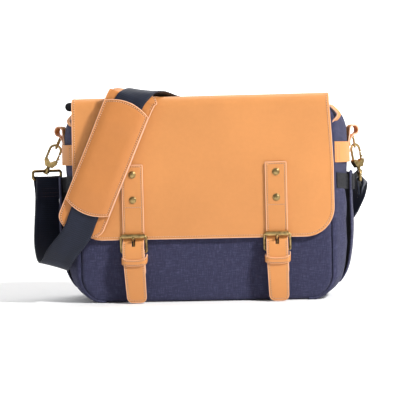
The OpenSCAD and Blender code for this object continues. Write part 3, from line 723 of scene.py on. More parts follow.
def base_panel():
    half = PANEL_HALF - PANEL_CORNER + 6
    xs = np.linspace(-half, half, 40)
    ys = spread(FRONT_Y + 0.8, BACK_Y - 0.8, 8, (0, 0.7, 1.8, 3.6, 6))
    x, y = np.meshgrid(xs, ys)
    edge = np.clip(1 - (BACK_Y - 0.8 - np.abs(y)) / 5, 0, 1)
    flat = np.stack([x, y, np.zeros_like(x)], axis=-1)
    z = 0.25 + np.abs(wrinkle(flat, 40, 0.5, 2.0)) + 2.4 * edge ** 2
    grid = np.stack([x, y, z], axis=-1)
    piece = grid_piece("base_canvas", grid, np.stack([x, y], axis=-1), [canvas], flip=True)
    return belong(thicken(piece, 2.0, 0), "bag", ["base_panel"])


def seam_shadow_cord(name, y, out):
    """Slightly wavy dark cord along the seam where a panel meets the sides: painted shade standing for the
    seam's shadow.
    """
    line = PANEL_LINE[2:-1]
    run = lengths(line)
    at = resample(np.column_stack([line, run]), 2.5)
    wave = 0.45 * np.sin(at[:, 2] / 2.6) + 0.25 * np.sin(at[:, 2] / 5.9 + 1)
    parts = []
    for side in (LEFT, RIGHT):
        x = side * (at[:, 0] - 0.6 + wave * 0.4)
        points = np.column_stack([x, y - out * (1.5 + wave * 0.5), at[:, 1]])
        parts.append((*tube(points, 0.75), 0))
    return belong(joined(name, parts, [dark_thread]), "bag")


make_camera()
flat_panel("front_canvas", FRONT_Y, -1, "front_panel", 0.6, seed=1.0)
flat_panel("back_canvas", BACK_Y, 1, "back_panel", 1.5, seed=5.0)
for side, word in SIDES:
    gusset(side, word + "_gusset").name = word + "_side_canvas"
base_panel()
# Dark cords along the front and back seams: painted seam shadow
seam_shadow_cord("front_seam_shadow", FRONT_Y, -1)
seam_shadow_cord("back_seam_shadow", BACK_Y, 1)


# ---- side fittings ----------------------------------------------------------

def on_band(side, half, y, z):
    """A point of the side band, which is held at its ends and stands away in the middle."""
    bow = BAND_BOW[side] * np.cos(np.asarray(y) / (half * 1.001) * math.pi / 2) ** 0.8
    return on_side(side, y, z, BAND_OUT + bow)


BAND_OUT, BAND_THICK, BAND_INSET = 2.6, 1.9, 2.2
BAND_BOW = {LEFT: 4.6, RIGHT: 3.0}
POCKET_OUT = {LEFT: 3, RIGHT: 0}
# The photo's right side sits a little lower than its left
SAG = {LEFT: 0.0, RIGHT: -4.0}


def side_band(side, word):
    low, high = box(word + "_side_band")
    half, bottom, top = high[1], low[2] + SAG[side], high[2] + SAG[side]
    ys = np.linspace(-half, half, int(2 * half / 3) + 1)
    y, z = np.meshgrid(ys, spread(bottom, top, 3.0, (0, 0.5, 1.5, 2.6)))
    point, _ = on_band(side, half, y, z)
    uv = np.stack([y, z], axis=-1)
    piece = grid_piece(word + "_leather_band", point, uv, [leather, raw_edge], flip=side < 0)
    belong(thicken(piece, BAND_THICK), "bag", [word + "_side_band"])
    rows = []
    for end in (-1, 1):
        for back in (BAND_INSET, BAND_INSET + 4):
            edge = end * (half - back)
            line = resample([(edge, top - BAND_INSET), (edge, bottom + BAND_INSET)], 2.0)
            rows.append(on_band(side, half, line[:, 0], line[:, 1]))
    stitches(word + "_band_stitches", rows, "bag", pitch=2.6, length=1.9)


def strap_loop(name, path, across, width, thick, node):
    """A leather strip bent round into a loop, along a path in space."""
    piece = sweep(name, smooth_line(path, 6), across, width, thick, [leather, raw_edge], 5, 0.35)
    return belong(piece, "bag", [node])


def hook_loop(side, word):
    """Loop that carries a snap hook: up from the band, over and back down."""
    node = word + "_hook_loop"
    y, top = centre_of(node)[1], box(node)[1][2] - 1.2
    inner = BULGE_HALF + 3.4
    r = (side_reach(node, side) - inner) / 2 - 1.0
    x = inner + r
    ring = arc(x, top - r, r, 180, -90, 10)
    tail = [(inner - 1.4, top - 36), (inner - 2.4, top - 28), (inner - 2.2, top - 20), (inner - 1, top - 14)]
    back = [(x - r * 0.4, top - 2.3 * r), (inner, top - 20), (inner, top - 28)]
    turn = math.radians(28)
    path = [(side * (x + (px - x) * math.cos(turn)), y + (px - x) * math.sin(turn), pz)
            for px, pz in [*tail, *ring, *back]]
    strap_loop(word + "_loop", path, (side * -math.sin(turn), math.cos(turn), 0), 11, 2.0, node)


def pull_loop(side, word):
    """Loop sewn into the front seam beside the mouth, standing out past the flap's edge."""
    node = word + "_pull_loop"
    _, y, z = centre_of(node)
    rise = box(node)[1][2] - z - 0.8
    root, tip = PANEL_HALF - 1, side_reach(node, side)
    upper = [(root, 1), (root + 4, 0.8), (tip - 3.4, 0.3)]
    line = upper + [(tip - 1.4, 0)] + [(px, -share) for px, share in upper[::-1]]
    turn = math.radians(30)
    path = [(side * (root + (px - root) * math.cos(turn)), y - 1 - (px - root) * math.sin(turn) * 0.3,
             z + rise * share) for px, share in line]
    strap_loop(word + "_pull_tab", path, (side * math.sin(turn), math.cos(turn), 0), 9, 2.2, node)


def pocket_tuck(z, bottom):
    """How far the pocket is drawn in: wholly at its sewn bottom, partly over its lower half."""
    sewn = np.clip(1 - (z - bottom) / 9, 0, 1) ** 1.6
    return np.maximum(sewn, 0.62 * np.clip((105 - z) / 80, 0, 1) ** 1.5)

def pocket(side, word):
    """Open side pocket: a canvas wall, a pleated gusset in black cloth that is painted shade for the dark
    inside of the pocket's open ends, and a bound, wavy mouth.
    """
    low, high = box(word + "_pocket")
    half, bottom, top = high[1], low[2], high[2]
    out = side_reach(word + "_pocket", side) - BULGE_HALF + POCKET_OUT[side]
    ys = spread(-half, half, 4, (0, 0.8, 2, 4, 6))
    zs = spread(bottom, top, 5, (0, 0.8, 2, 4, 6))
    y, z = np.meshgrid(ys, zs)
    t = (z - bottom) / (top - bottom)
    mouth = np.clip((t - 0.8) / 0.2, 0, 1)
    flat = np.stack([y, z, np.zeros_like(y)], axis=-1)
    ripple = wrinkle(flat * [1, 0.6, 1], 26, 1.6, 4 + side) - 0.7 * mouth * (1 - (y / half) ** 2)
    z_shift = z + mouth * (1.6 * np.sin(y / 8.0) - 1.5 * (1 - (y / half) ** 2))
    tuck = pocket_tuck(z, bottom)
    point, _ = on_side(side, y, z_shift, out - 0.4 + ripple * (1 - tuck) - (out - 2.2) * tuck)
    uv = np.stack([y, z], axis=-1)
    piece = grid_piece(word + "_pocket_wall", point, uv, [canvas, canvas], flip=side < 0)
    belong(thicken(piece, 1.6), "bag", [word + "_pocket"])
    parts = []
    for end in (-1, 1):
        zs2 = np.linspace(bottom + 1, top - 3, 40)
        steps = np.linspace(0, 1, 7)
        d, zz = np.meshgrid(steps, zs2)
        pleat = 2.6 * np.sin(d * math.pi) * (1 + 0.25 * np.sin(zz / 6))
        yy = end * (half - 0.6 - pleat)
        tucked = pocket_tuck(zz, bottom)
        stand = 0.3 + d * (out - 2.0) * (1 - tucked) + d * tucked * 0.8
        point, _ = on_side(side, yy, zz, stand)
        parts.append((point.reshape(-1, 3), grid_faces(*point.shape[:2]), 0))
    # The pleats are black cloth standing for the shade inside the pocket's open ends: painted shade
    piece = joined(word + "_pocket_pleats_painted_shade", parts, [black_fabric])
    solid = piece.modifiers.new("thick", "SOLIDIFY")
    solid.thickness = 0.8 * MM
    solid.offset = 0
    belong(settle(piece), "bag", [word + "_pocket_gusset"])


def pocket_strap(side, word):
    """Black webbing from seam to seam: flat on the canvas, then out over the pocket's mouth."""
    low, high = box(word + "_pocket_strap")
    out = side_reach(word + "_pocket_strap", side) - BULGE_HALF
    ys = np.linspace(-60, 60, 61)
    zs = np.array([0, 0.5, 1.5, 4, 8, 12, 16, 18.5, 19.5, 20.0]) + low[2] + SAG[side] - 1
    y, z = np.meshgrid(ys, zs)
    over = np.clip((high[1] - 6 - np.abs(y)) / 9, 0, 1)
    z = z - 3.0 * np.clip((60 - np.abs(y)) / 25, 0, 1)
    point, _ = on_side(side, y, z, 3.0 + (out - 3.0) * over ** 2 * (3 - 2 * over))
    uv = np.stack([y, z], axis=-1)
    piece = grid_piece(word + "_black_strap", point, uv, [black_fabric, black_fabric], flip=side < 0)
    belong(thicken(piece, 1.3), "bag", [word + "_pocket_strap"])


for side, word in SIDES:
    side_band(side, word)
    hook_loop(side, word)
    pull_loop(side, word)
    pocket(side, word)
    pocket_strap(side, word)


# ---- inside -----------------------------------------------------------------

def lining_sheet(node, name):
    """Brushed lining with a bound top edge, hanging in shallow folds."""
    low, high = box(node)
    xs = np.linspace(low[0], high[0], 60)
    zs = np.linspace(low[2], high[2], 40)
    x, z = np.meshgrid(xs, zs)
    flat = np.stack([x, np.zeros_like(x), z], axis=-1)
    middle = (low[1] + high[1]) / 2
    y = middle + 0.5 * np.sin(x / 23) * np.clip((high[2] - z) / 60, 0, 1) + wrinkle(flat, 45, 0.5, 8)
    grid = np.stack([x, y + 0.5, z], axis=-1)
    piece = grid_piece(name, grid, np.stack([x, z], axis=-1), [lining, lining])
    belong(thicken(piece, 1.0), "bag", [node])
    edge = [(px, middle, high[2]) for px in np.linspace(low[0], high[0], 40)]
    strip = sweep(name + "_binding", edge, (0, 0, 1), 7, 2.4, [black_fabric], 4, 0.8)
    belong(strip, "bag")


def zip_tape(node, name, toward):
    low, high = box(node)
    thick = 1.0
    y = low[1] + thick / 2 if toward > 0 else high[1] - thick / 2
    xs = np.linspace(low[0], high[0], 60)
    line = np.column_stack([xs, y + 0.25 * np.sin(xs / 11), np.full(60, (low[2] + high[2]) / 2)])
    tape = sweep(name, line, (0, 0, 1), high[2] - low[2], thick, [black_fabric], 6, 0.3)
    belong(tape, "bag", [node])
    parts = []
    tooth = np.array([(-0.9, 0, -1.2), (0.9, 0, -1.2), (0.9, 0, 1.2), (-0.9, 0, 1.2),
                      (-0.6, 2.2, -0.8), (0.6, 2.2, -0.8), (0.6, 2.2, 0.8), (-0.6, 2.2, 0.8)])
    faces = [(0, 1, 2, 3), (7, 6, 5, 4), (0, 4, 5, 1), (1, 5, 6, 2), (2, 6, 7, 3), (3, 7, 4, 0)]
    for x in np.arange(low[0] + 4, high[0] - 22, 3.0):
        place = np.array([x, y + toward * thick / 2, high[2] - 1.6])
        parts.append((tooth * [1, toward, 1] + place, faces if toward < 0 else [f[::-1] for f in faces], 0))
    piece = joined(name + "_teeth", parts, [brass])
    bevel = piece.modifiers.new("soft_edge", "BEVEL")
    bevel.width = 0.25 * MM
    bevel.segments = 1
    belong(settle(piece), "bag")


def soft_block(name, low, high, radius, material, swell=0.0, seed=0.0, step=6.0):
    """A stuffed block: rounded edges, faces that swell between its seams, and a few dimples."""
    size = high - low
    counts = np.maximum(3, (size / step).astype(int))
    parts = []
    centre, half = (low + high) / 2, size / 2
    for axis in range(3):
        u, v = [k for k in range(3) if k != axis]
        for sign in (-1, 1):
            a = np.linspace(-1, 1, counts[u] + 1)
            b = np.linspace(-1, 1, counts[v] + 1)
            ga, gb = np.meshgrid(a, b)
            p = np.zeros(ga.shape + (3,))
            p[..., u], p[..., v], p[..., axis] = ga, gb, sign
            faces = grid_faces(*ga.shape)
            turn = (sign > 0) == (axis != 1)
            parts.append((p.reshape(-1, 3), faces if turn else [f[::-1] for f in faces], 0))
    points = np.vstack([p for p, _, _ in parts]) * half
    inner = np.clip(points, -(half - radius), half - radius)
    away = points - inner
    reach = np.linalg.norm(away, axis=1, keepdims=True)
    points = inner + np.where(reach > 0, away / np.maximum(reach, 1e-9) * np.minimum(reach, radius), 0)
    u = points / half
    thin = int(np.argmin(size))
    others = [k for k in range(3) if k != thin]
    crown = (1 - u[:, others[0]] ** 4) * (1 - u[:, others[1]] ** 4)
    points[:, thin] += np.sign(points[:, thin]) * (swell * crown + wrinkle(points, 40, 0.6, seed))
    piece = joined(name, [(points[s:s + len(p)] + centre, f, k) for s, (p, f, k) in zip(
        np.cumsum([0] + [len(p) for p, _, _ in parts[:-1]]), parts)], [material])
    weld = piece.modifiers.new("weld", "WELD")
    weld.merge_threshold = 0.05 * MM
    return settle(piece)


def puff(piece, voxel, pressure, cap, frames=20):
    """Swells a closed piece by cloth simulation, keeping each point within cap of its start."""
    remesh = piece.modifiers.new("remesh", "REMESH")
    remesh.mode = "VOXEL"
    remesh.voxel_size = voxel * MM
    settle(piece)
    start = np.zeros(len(piece.data.vertices) * 3)
    piece.data.vertices.foreach_get("co", start)
    start = start.reshape(-1, 3)
    cloth = piece.modifiers.new("cloth", "CLOTH")
    cloth.settings.use_pressure = True
    cloth.settings.uniform_pressure_force = pressure
    cloth.settings.tension_stiffness = 40
    cloth.settings.compression_stiffness = 40
    cloth.settings.effector_weights.gravity = 0
    cloth.point_cache.frame_start = 1
    cloth.point_cache.frame_end = frames
    scene = bpy.context.scene
    for number in range(1, frames + 1):
        scene.frame_set(number)
    settle(piece)
    scene.frame_set(1)
    end = np.zeros(len(start) * 3)
    piece.data.vertices.foreach_get("co", end)
    move = end.reshape(-1, 3) - start
    far = np.linalg.norm(move, axis=1, keepdims=True)
    move *= np.minimum(1, cap * MM / np.maximum(far, 1e-9))
    piece.data.vertices.foreach_set("co", (start + move).ravel())
    smoother = piece.modifiers.new("smooth", "SUBSURF")
    smoother.levels = 1
    smoother.render_levels = 1
    return settle(piece)


lining_sheet("front_lining", "front_lining_cloth")
lining_sheet("back_lining", "back_lining_cloth")
zip_tape("zip_front_tape", "zip_tape_front", 1)
zip_tape("zip_back_tape", "zip_tape_back", -1)

divider_low, divider_high = box("padded_divider")
divider = soft_block("divider_pad", divider_low + 1, divider_high - 1, 2.4, lining, 0.6, 11)
divider = puff(divider, 4.5, 3, 2.5)
belong(divider, "bag", ["padded_divider"])

tab_low, tab_high = box("zip_end_tab")
tab = soft_block("zip_tab", tab_low + [2, 0, 4], tab_high + [2, 0, 6], 5.0, black_fabric, 0.8, 4, 1.6)
belong(tab, "bag", ["zip_end_tab"])


# ---- flap -------------------------------------------------------------------

FLAP_LOW, FLAP_HIGH = box("flap")
STRIP_LOW, STRIP_HIGH = box("flap_hinge_strip")
FLAP_HALF, FLAP_BOTTOM, FLAP_TOP = FLAP_HIGH[0], FLAP_LOW[2], FLAP_HIGH[2]
FLAP_FACE = FLAP_LOW[1]
FLAP_CORNER = 38
FLAP_BEND = 13
FLAP_THICK = 2.5
RIGHT_PULL = 3.6
HINGE = ("bag", "flap"), (0, 0.071, 0.262), (0, 0.050, 0.262)


def flap_line(inset=0.0):
    """Side view of the flap's outer face (y, z), from its sewn rear edge over the top to its hem."""
    rear = STRIP_HIGH[1] - inset
    bend = 11 - inset
    front = FLAP_FACE + inset
    return np.vstack([
        [(rear, STRIP_LOW[2]), (rear, 235), (rear, 250)],
        arc(rear - bend, FLAP_TOP - inset - bend, bend, 0, 90, 8),
        [(30, FLAP_TOP - inset - 0.4), (0, FLAP_TOP - inset - 0.8), (-30, FLAP_TOP - inset - 0.4)],
        arc(front + FLAP_BEND - inset, FLAP_TOP - FLAP_BEND, FLAP_BEND - inset, 90, 180, 10),
        [(front, 200), (front, FLAP_BOTTOM)],
    ])


def flap_point(line, s, u, edge=0.0):
    """A point of the flap: s along its side view from the rear, u from -1 to 1 across."""
    run = lengths(line)
    y = np.interp(s, run, line[:, 0])
    z = np.interp(s, run, line[:, 1])
    left = run[-1] - s
    r = FLAP_CORNER - edge
    drop = np.clip(r - left, 0, r)
    corner = r - np.sqrt(np.maximum(r * r - drop * drop, 0))
    half = FLAP_HALF - edge - corner
    # The right edge draws in towards the top, where the flap lies over the rounded shoulder
    on_top = np.clip((z - 175) / 80, 0, 1)
    pulled = np.where(u > 0, RIGHT_PULL + 4.2 * on_top ** 1.2, 0.7 * on_top)
    droop = np.clip(np.abs(u) - 0.86, 0, 1) / 0.14
    behind = np.clip((y + 57) / 12, 0, 1)
    x = u * (half - pulled * np.abs(u) ** 3)
    z = z - behind * droop ** 2 * 3.2
    return x, y, z


def flap_sheet(name, line, step, edge, swell, materials):
    run = lengths(line)
    total = run[-1]
    hem = total - np.array([0, 0.45, 0.9, 2.2, 3.0, 3.6, 4.4, 6, 8])
    rows = np.concatenate([np.linspace(0, total - 11, int(total / step)), hem[::-1]])
    xs = spread(-FLAP_HALF, FLAP_HALF, step) / FLAP_HALF
    s, u = np.meshgrid(rows, xs, indexing="ij")
    x, y, z = flap_point(line, s, u, edge)
    grid = np.stack([x, y, z], axis=-1)
    tangent_s = unit(np.gradient(grid, axis=0))
    tangent_u = unit(np.gradient(grid, axis=1))
    normal = unit(np.cross(tangent_u, tangent_s))
    flat = np.stack([x, s, np.zeros_like(x)], axis=-1)
    inset = np.minimum(FLAP_HALF * (1 - np.abs(u)), total - s)
    groove = np.exp(-((inset - 3.3) / 0.7) ** 2) * (s > 60)
    calm = np.clip((inset - 5) / 25, 0, 1)
    waves = wrinkle(flat, 90, 1.5, 2.0) + wrinkle(flat, 35, 0.35, 6.0)
    depth = swell * waves * calm - 0.2 * groove
    grid = grid + normal * depth[..., None]
    piece = grid_piece(name, grid, np.stack([x, s], axis=-1), materials, flip=True, bare=2)
    return piece


def flap_leather():
    line = resample(flap_line(), 1.5)
    piece = flap_sheet("flap_leather", line, 4.0, 0.0, 0.35, [leather, raw_edge, leather_back])
    belong(thicken(piece, FLAP_THICK, 0.4), "flap", ["flap", "flap_hinge_strip"], bend=HINGE)


def flap_hem_line(inset):
    """The line that runs inset inside the flap's edge: down one side, along the hem and up."""
    line = resample(flap_line(), 1.5)
    total = lengths(line)[-1]
    straight = np.linspace(total - 236, total - FLAP_CORNER, 60)
    right = np.stack(flap_point(line, straight, 1.0), axis=-1) - [inset, 0, 0]
    left = np.stack(flap_point(line, straight, -1.0), axis=-1) + [inset, 0, 0]
    a = np.radians(np.linspace(0, 90, 14)[1:])
    r = FLAP_CORNER - inset
    _, y, z = flap_point(line, total - FLAP_CORNER + r * np.sin(a), 0.0)
    turn = np.stack([FLAP_HALF - FLAP_CORNER + r * np.cos(a), y, z], axis=-1)
    return np.vstack([right, turn - [RIGHT_PULL, 0, 0], (turn * [-1, 1, 1])[::-1], left[::-1]])


def flap_normals(points):
    """Outward normals of the flap where its front drops and over the bend."""
    centre = np.array([FLAP_FACE + FLAP_BEND, FLAP_TOP - FLAP_BEND])
    out = np.zeros_like(points)
    for i, (_, y, z) in enumerate(points):
        if z < centre[1]:
            out[i] = (0, -1, 0)
        elif y > centre[0]:
            out[i] = (0, 0, 1)
        else:
            out[i] = unit((0, y - centre[0], z - centre[1]))
    return out


def flap_stitching():
    hem = resample(flap_hem_line(3.4), 1.2)
    stitches("flap_stitches", [(hem, flap_normals(hem))], "flap", pitch=3.2, length=1.9, radius=0.4, sink=0.1)


def flap_lining():
    inset = FLAP_THICK + 0.35
    line = resample(flap_line(inset)[12:], 2.0)
    piece = flap_sheet("flap_lining_cloth", line, 6.0, 6.0, 0.3, [lining, lining])
    belong(thicken(piece, 0.9), "flap", ["flap_lining"])


flap_leather()
flap_stitching()
flap_lining()


# ---- closure straps ---------------------------------------------------------

CLOSURE_LOW, CLOSURE_HIGH = box("right_closure_strap")
CLOSURE_X = (CLOSURE_LOW[0] + CLOSURE_HIGH[0]) / 2
CLOSURE_HALF = (CLOSURE_HIGH[0] - CLOSURE_LOW[0]) / 2
CLOSURE_TOP, CLOSURE_TIP = CLOSURE_HIGH[2], CLOSURE_LOW[2] - 2.1
CLOSURE_THICK = 2.3
_, ROLLER_Y, ROLLER_Z = centre_of("right_roller")
SLOT = (73.5, 89)
SLOT_HALF = 2.3
TAIL_LEAN = {LEFT: 0.055, RIGHT: 0.02}


def closure_line():
    """Side view (y, z) of the strap's middle, matching the route that the frame's strap takes."""
    strap_y = FLAP_FACE - 0.3 - CLOSURE_THICK / 2
    line = np.vstack([
        [(strap_y, CLOSURE_TOP), (strap_y, 140), (strap_y, 100)],
        arc(ROLLER_Y, ROLLER_Z, strap_y - ROLLER_Y, 0, -40, 4),
        [(FLAP_FACE - 5.2, 80), (FLAP_FACE - 8, 75), (FLAP_FACE - 9.8, 68), (FLAP_FACE - 10.4, 58),
         (FLAP_FACE - 10.2, 40), (FLAP_FACE - 10.4, 20), (FLAP_FACE - 9.8, CLOSURE_TIP)],
    ])
    return resample(line, 0.5)


def closure_half(z):
    """Half width of the strap: rounded tail corners, and just rounded ones at the top."""
    r = 7.5
    low = np.clip(r - (z - CLOSURE_TIP), 0, r)
    high = np.clip(1.5 - (CLOSURE_TOP - z), 0, 1.5)
    narrow = 1.2 * np.clip((60 - z) / 55, 0, 1)
    return CLOSURE_HALF - narrow - (r - np.sqrt(r * r - low * low)) - (1.5 - np.sqrt(2.25 - high * high))


def closure_x(side, z):
    return side * CLOSURE_X + TAIL_LEAN[side] * np.clip(66 - z, 0, 70)


def closure_surface(side, line, run, s, u, off):
    """Points off from the strap's middle, s along it and u across it, with their normals."""
    y, z = np.moveaxis(at_run(run, line, s), -1, 0)
    dy, dz = np.moveaxis(at_run(run, line, s + 0.5) - at_run(run, line, s - 0.5), -1, 0)
    long = np.hypot(dy, dz) + 1e-9
    x = closure_x(side, z) + u * closure_half(z)
    normal = np.stack([0 * x, dz / long + 0 * x, -dy / long + 0 * x], axis=-1)
    return np.stack([x, y + 0 * x, z + 0 * x], axis=-1) + normal * np.asarray(off)[..., None], normal


def closure_strap(side, word):
    line = closure_line()
    run = lengths(line)
    total = run[-1]
    slot = [np.interp(-z, -line[:, 1], run) for z in (SLOT[1], SLOT[0])]
    rows = np.unique(np.concatenate([
        [0, 0.8, 1.5, 2.6, 4], np.arange(6, total - 12, 2.4), slot,
        total - np.array([12, 10, 8.5, 7.2, 6, 4.8, 3.7, 2.7, 1.8, 0.8, 0])
    ]))
    share = SLOT_HALF / CLOSURE_HALF
    cols = np.array([-1, -0.945, -0.91, -0.86, -0.8, -0.74, -0.66, -0.5, -0.33, -share,
                     0, share, 0.33, 0.5, 0.66, 0.74, 0.8, 0.86, 0.91, 0.945, 1])
    s, u = np.meshgrid(rows, cols, indexing="ij")
    inset = np.minimum((1 - np.abs(u)) * CLOSURE_HALF, np.minimum(s, total - s))
    groove = 0.25 * np.exp(-((inset - 2.6) / 0.6) ** 2)
    flat = np.stack([u * 14, s, np.full_like(s, side * 40.0)], axis=-1)
    puckers = wrinkle(flat, 16, 0.3, 1.5) + wrinkle(flat, 40, 0.7, 3.0) * np.clip((s - 95) / 40, 0, 1)
    grid, _ = closure_surface(side, line, run, s, u, CLOSURE_THICK / 2 - groove + puckers * 0.6)

    def in_slot(i, j):
        return slot[0] - 0.1 < rows[i] < slot[1] - 0.1 and cols[j] in (-share, 0)

    piece = grid_piece(word + "_strap", grid, np.stack([u * 14 + side * 90, s], axis=-1),
                       [leather, raw_edge, leather_back], in_slot, True, 1, ())
    belong(thicken(piece, CLOSURE_THICK - 0.2, 0.35), "flap", [word + "_closure_strap"])
    inset = 2.6
    def offset_line(u_sign, zs):
        pts = []
        for z in zs:
            sz = np.interp(-z, -line[:, 1], run)
            half = closure_half(z)
            uu = u_sign * (half - inset) / half
            pts.append(closure_surface(side, line, run, sz, uu, CLOSURE_THICK / 2))
        return np.array([p for p, _ in pts]), np.array([n for _, n in pts])
    zs = np.linspace(CLOSURE_TOP - inset, ROLLER_Z + 5, 60)
    low = np.linspace(ROLLER_Z - 8, CLOSURE_TIP + 7.5, 60)
    rows_out = [offset_line(sign, part) for sign in (-1, 1) for part in (zs, low)]
    for z in (CLOSURE_TOP - inset, 124.5):
        sz = np.interp(-z, -line[:, 1], run)
        us = np.linspace(-0.8, 0.8, 20)
        rows_out.append(closure_surface(side, line, run, np.full(20, sz), us, CLOSURE_THICK / 2))
    turn = np.radians(np.linspace(180, 360, 20))
    half = closure_half(CLOSURE_TIP + 7.5) - inset
    tail_z = CLOSURE_TIP + inset + 5.2 + 5.0 * np.sin(turn)
    sz = np.interp(-tail_z, -line[:, 1], run)
    shape = np.sign(np.cos(turn)) * np.abs(np.cos(turn)) ** 0.55
    tail, tail_n = closure_surface(side, line, run, sz, 0, CLOSURE_THICK / 2)
    tail[:, 0] = closure_x(side, tail_z) + half * shape
    rows_out.append((tail, tail_n))
    stitches(word + "_strap_stitches", rows_out, "flap", pitch=2.9, length=2.1, radius=0.3, sink=0.15)


def dome(radius, height, sides=28, rings=6):
    points = [(0, 0, height)]
    for i in range(1, rings + 1):
        a = math.pi / 2 * i / rings
        r = radius * math.sin(a)
        z = height * math.cos(a) ** 0.8 if i < rings else 0
        points += [(r * math.cos(2 * math.pi * k / sides), r * math.sin(2 * math.pi * k / sides), z)
                   for k in range(sides)]
    points += [(x * 1.06, y * 1.06, -0.3) for x, y, _ in points[-sides:]]
    faces = [(0, 1 + k, 1 + (k + 1) % sides) for k in range(sides)]
    for i in range(rings):
        a = 1 + i * sides
        for k in range(sides):
            n = (k + 1) % sides
            faces.append((a + k, a + sides + k, a + sides + n, a + n))
    faces.append(tuple(1 + rings * sides + k for k in range(sides))[::-1])
    return np.array(points), faces


def rivets(word):
    """Domed caps with a thin collar, pressed through the strap and the flap."""
    low, high = box(word + "_rivets")
    x = (low[0] + high[0]) / 2
    radius = (high[0] - low[0]) / 2
    face = FLAP_FACE - 0.3 - CLOSURE_THICK + 0.1
    parts = []
    for z in (low[2] + radius, high[2] - radius):
        p, f = dome(radius * 0.86, 1.7)
        cap = np.column_stack([p[:, 0], -p[:, 2] - 0.3, p[:, 1]]) + (x, face, z)
        parts.append((cap, [g[::-1] for g in f][::-1], 0))
        ring = np.array([(x + radius * 0.88 * math.cos(a), face - 0.3, z + radius * 0.88 * math.sin(a))
                         for a in np.linspace(0, 2 * math.pi, 37)])
        parts.append((*tube(ring, 0.5), 0))
    belong(joined(word + "_rivet_caps", parts, [brass]), "flap", [word + "_rivets"])


def keeper(side, word):
    """Leather loop round the strap's tail, its front sagging between its two ends."""
    low, high = box(word + "_keeper")
    middle = (low[2] + high[2]) / 2
    x0 = closure_x(side, middle)
    half = CLOSURE_HALF + 1.9
    front, back = low[1] + 0.75, high[1] - 0.75
    right = [(6, front - 0.3), (half - 3.4, front + 0.1), (half - 0.4, front + 2.5),
             (half, (front + back) / 2 + 1), (half, back)]
    corners = [(-a, b) for a, b in right[::-1]] + right
    line = smooth_line([(x0 + a, b, 0) for a, b in corners], 6)
    share = (line[:, 0] - x0) / half
    depth = (line[:, 1] - front) / (back - front)
    rise = 4.0 * np.clip(depth, 0, 1) * (0.3 + 0.7 * (share > 0))
    line[:, 2] = middle - 0.4 + 2.6 * np.abs(share) ** 3 + rise
    piece = sweep(word + "_strap_keeper", line, (0, 0, 1), high[2] - low[2], 1.5,
                  [leather, raw_edge], 6, 0.35)
    belong(piece, "flap", [word + "_keeper"])
    shown = line[(depth < 0.12)]
    rows = []
    for up in (2.4, -2.4):
        row = shown + [0, -0.75, up]
        rows.append((row, (0, -1, 0)))
    stitches(word + "_keeper_stitches", rows, "flap", pitch=2.3, length=1.6, radius=0.26, sink=0.1)


def chape(side, word):
    """Leather folded round the heel bar, both its leaves hanging behind the strap."""
    low, _ = box(word + "_chape")
    frame_low, _ = box(word + "_buckle_frame")
    x0 = side * CLOSURE_X
    heel_y, heel_z = FLAP_FACE + 0.4, frame_low[2] + 1.7
    r = 2.8
    line = np.vstack([
        [(heel_y - 1.5, low[2]), (heel_y - 1.4, 50), (heel_y - 1.9, heel_z - 6)],
        arc(heel_y, heel_z, r, 180, 0, 10),
        [(heel_y + 1.9, heel_z - 6), (heel_y + 0.9, 50), (heel_y + 0.9, low[2] + 2.5)],
    ])
    line = np.column_stack([np.full(len(line), x0), line])
    pull = np.clip((64 - line[:, 2]) / 30, 0, 1)
    line[:, 0] += pull * 1.2
    piece = sweep(word + "_heel_fold", smooth_line(line, 3), (1, 0, 0),
                  2 * CLOSURE_HALF - 0.5, 1.6, [leather, raw_edge], 6, 0.35)
    belong(piece, "flap", [word + "_chape"])


for side, word in SIDES:
    closure_strap(side, word)
    rivets(word)
    keeper(side, word)
    chape(side, word)


# ---- shoulder strap and pad -------------------------------------------------

WEB_W, WEB_THICK = 38, 1.8
PAD_LEAN = math.radians(23.5)
PAD_FOOT = np.array([-158, -81.4, 113])
PAD_ALONG = np.array([math.sin(PAD_LEAN), 0, math.cos(PAD_LEAN)])
PAD_ACROSS = np.array([math.cos(PAD_LEAN), 0, -math.sin(PAD_LEAN)])
PAD_HALF = 31.5
RING_TURN = {LEFT: math.radians(42), RIGHT: math.radians(90)}


def ring_frame(side, word):
    """Middle of a ring's lower bar, the bar's direction, and the way its webbing faces."""
    x, y, _ = centre_of(word + "_ring")
    bar = np.array([x, y, box(word + "_ring")[0][2] + 2])
    across = np.array([math.cos(RING_TURN[side]), math.sin(RING_TURN[side]), 0])
    return bar, across, -side * np.array([across[1], -across[0], 0])


def looped_end(side, word, drop):
    """Route of a webbing end round its ring's bar: the short sewn end first, the long one last."""
    bar, across, out = ring_frame(side, word)
    r = 2 + 0.3 + WEB_THICK / 2
    rows = [(bar + out * 1.6 - [0, 0, drop], across), (bar + out * 2.0 - [0, 0, drop * 0.55], across),
            (bar + out * (r - 0.4) - [0, 0, 6], across)]
    for q in np.radians(np.arange(0, 181, 30)):
        rows.append((bar + out * r * math.cos(q) + np.array([0, 0, r * math.sin(q)]), across))
    rows += [(bar - out * (r - 0.4) - [0, 0, 6], across), (bar - out * 1.2 - [0, 0, drop * 0.55], across),
             (bar - out * 0.9 - [0, 0, drop], across)]
    return rows


def web_strip(name, rows, replaced, bend, wave=0.0):
    """Webbing through (centre, across) pairs, smoothed into one strap."""
    both = smooth_line(np.array([np.concatenate([c, a]) for c, a in rows]), 6)
    centre, across = both[:, :3], both[:, 3:]
    run = lengths(centre)

    def curl(i, x):
        return -0.5 * (x / (WEB_W / 2)) ** 2 + wave * math.sin(run[i] / 23 + x / 20)

    piece = sweep(name, centre, across, WEB_W, WEB_THICK, [webbing], 12, 0.5, sag=curl)
    return belong(piece, None, replaced, bend)


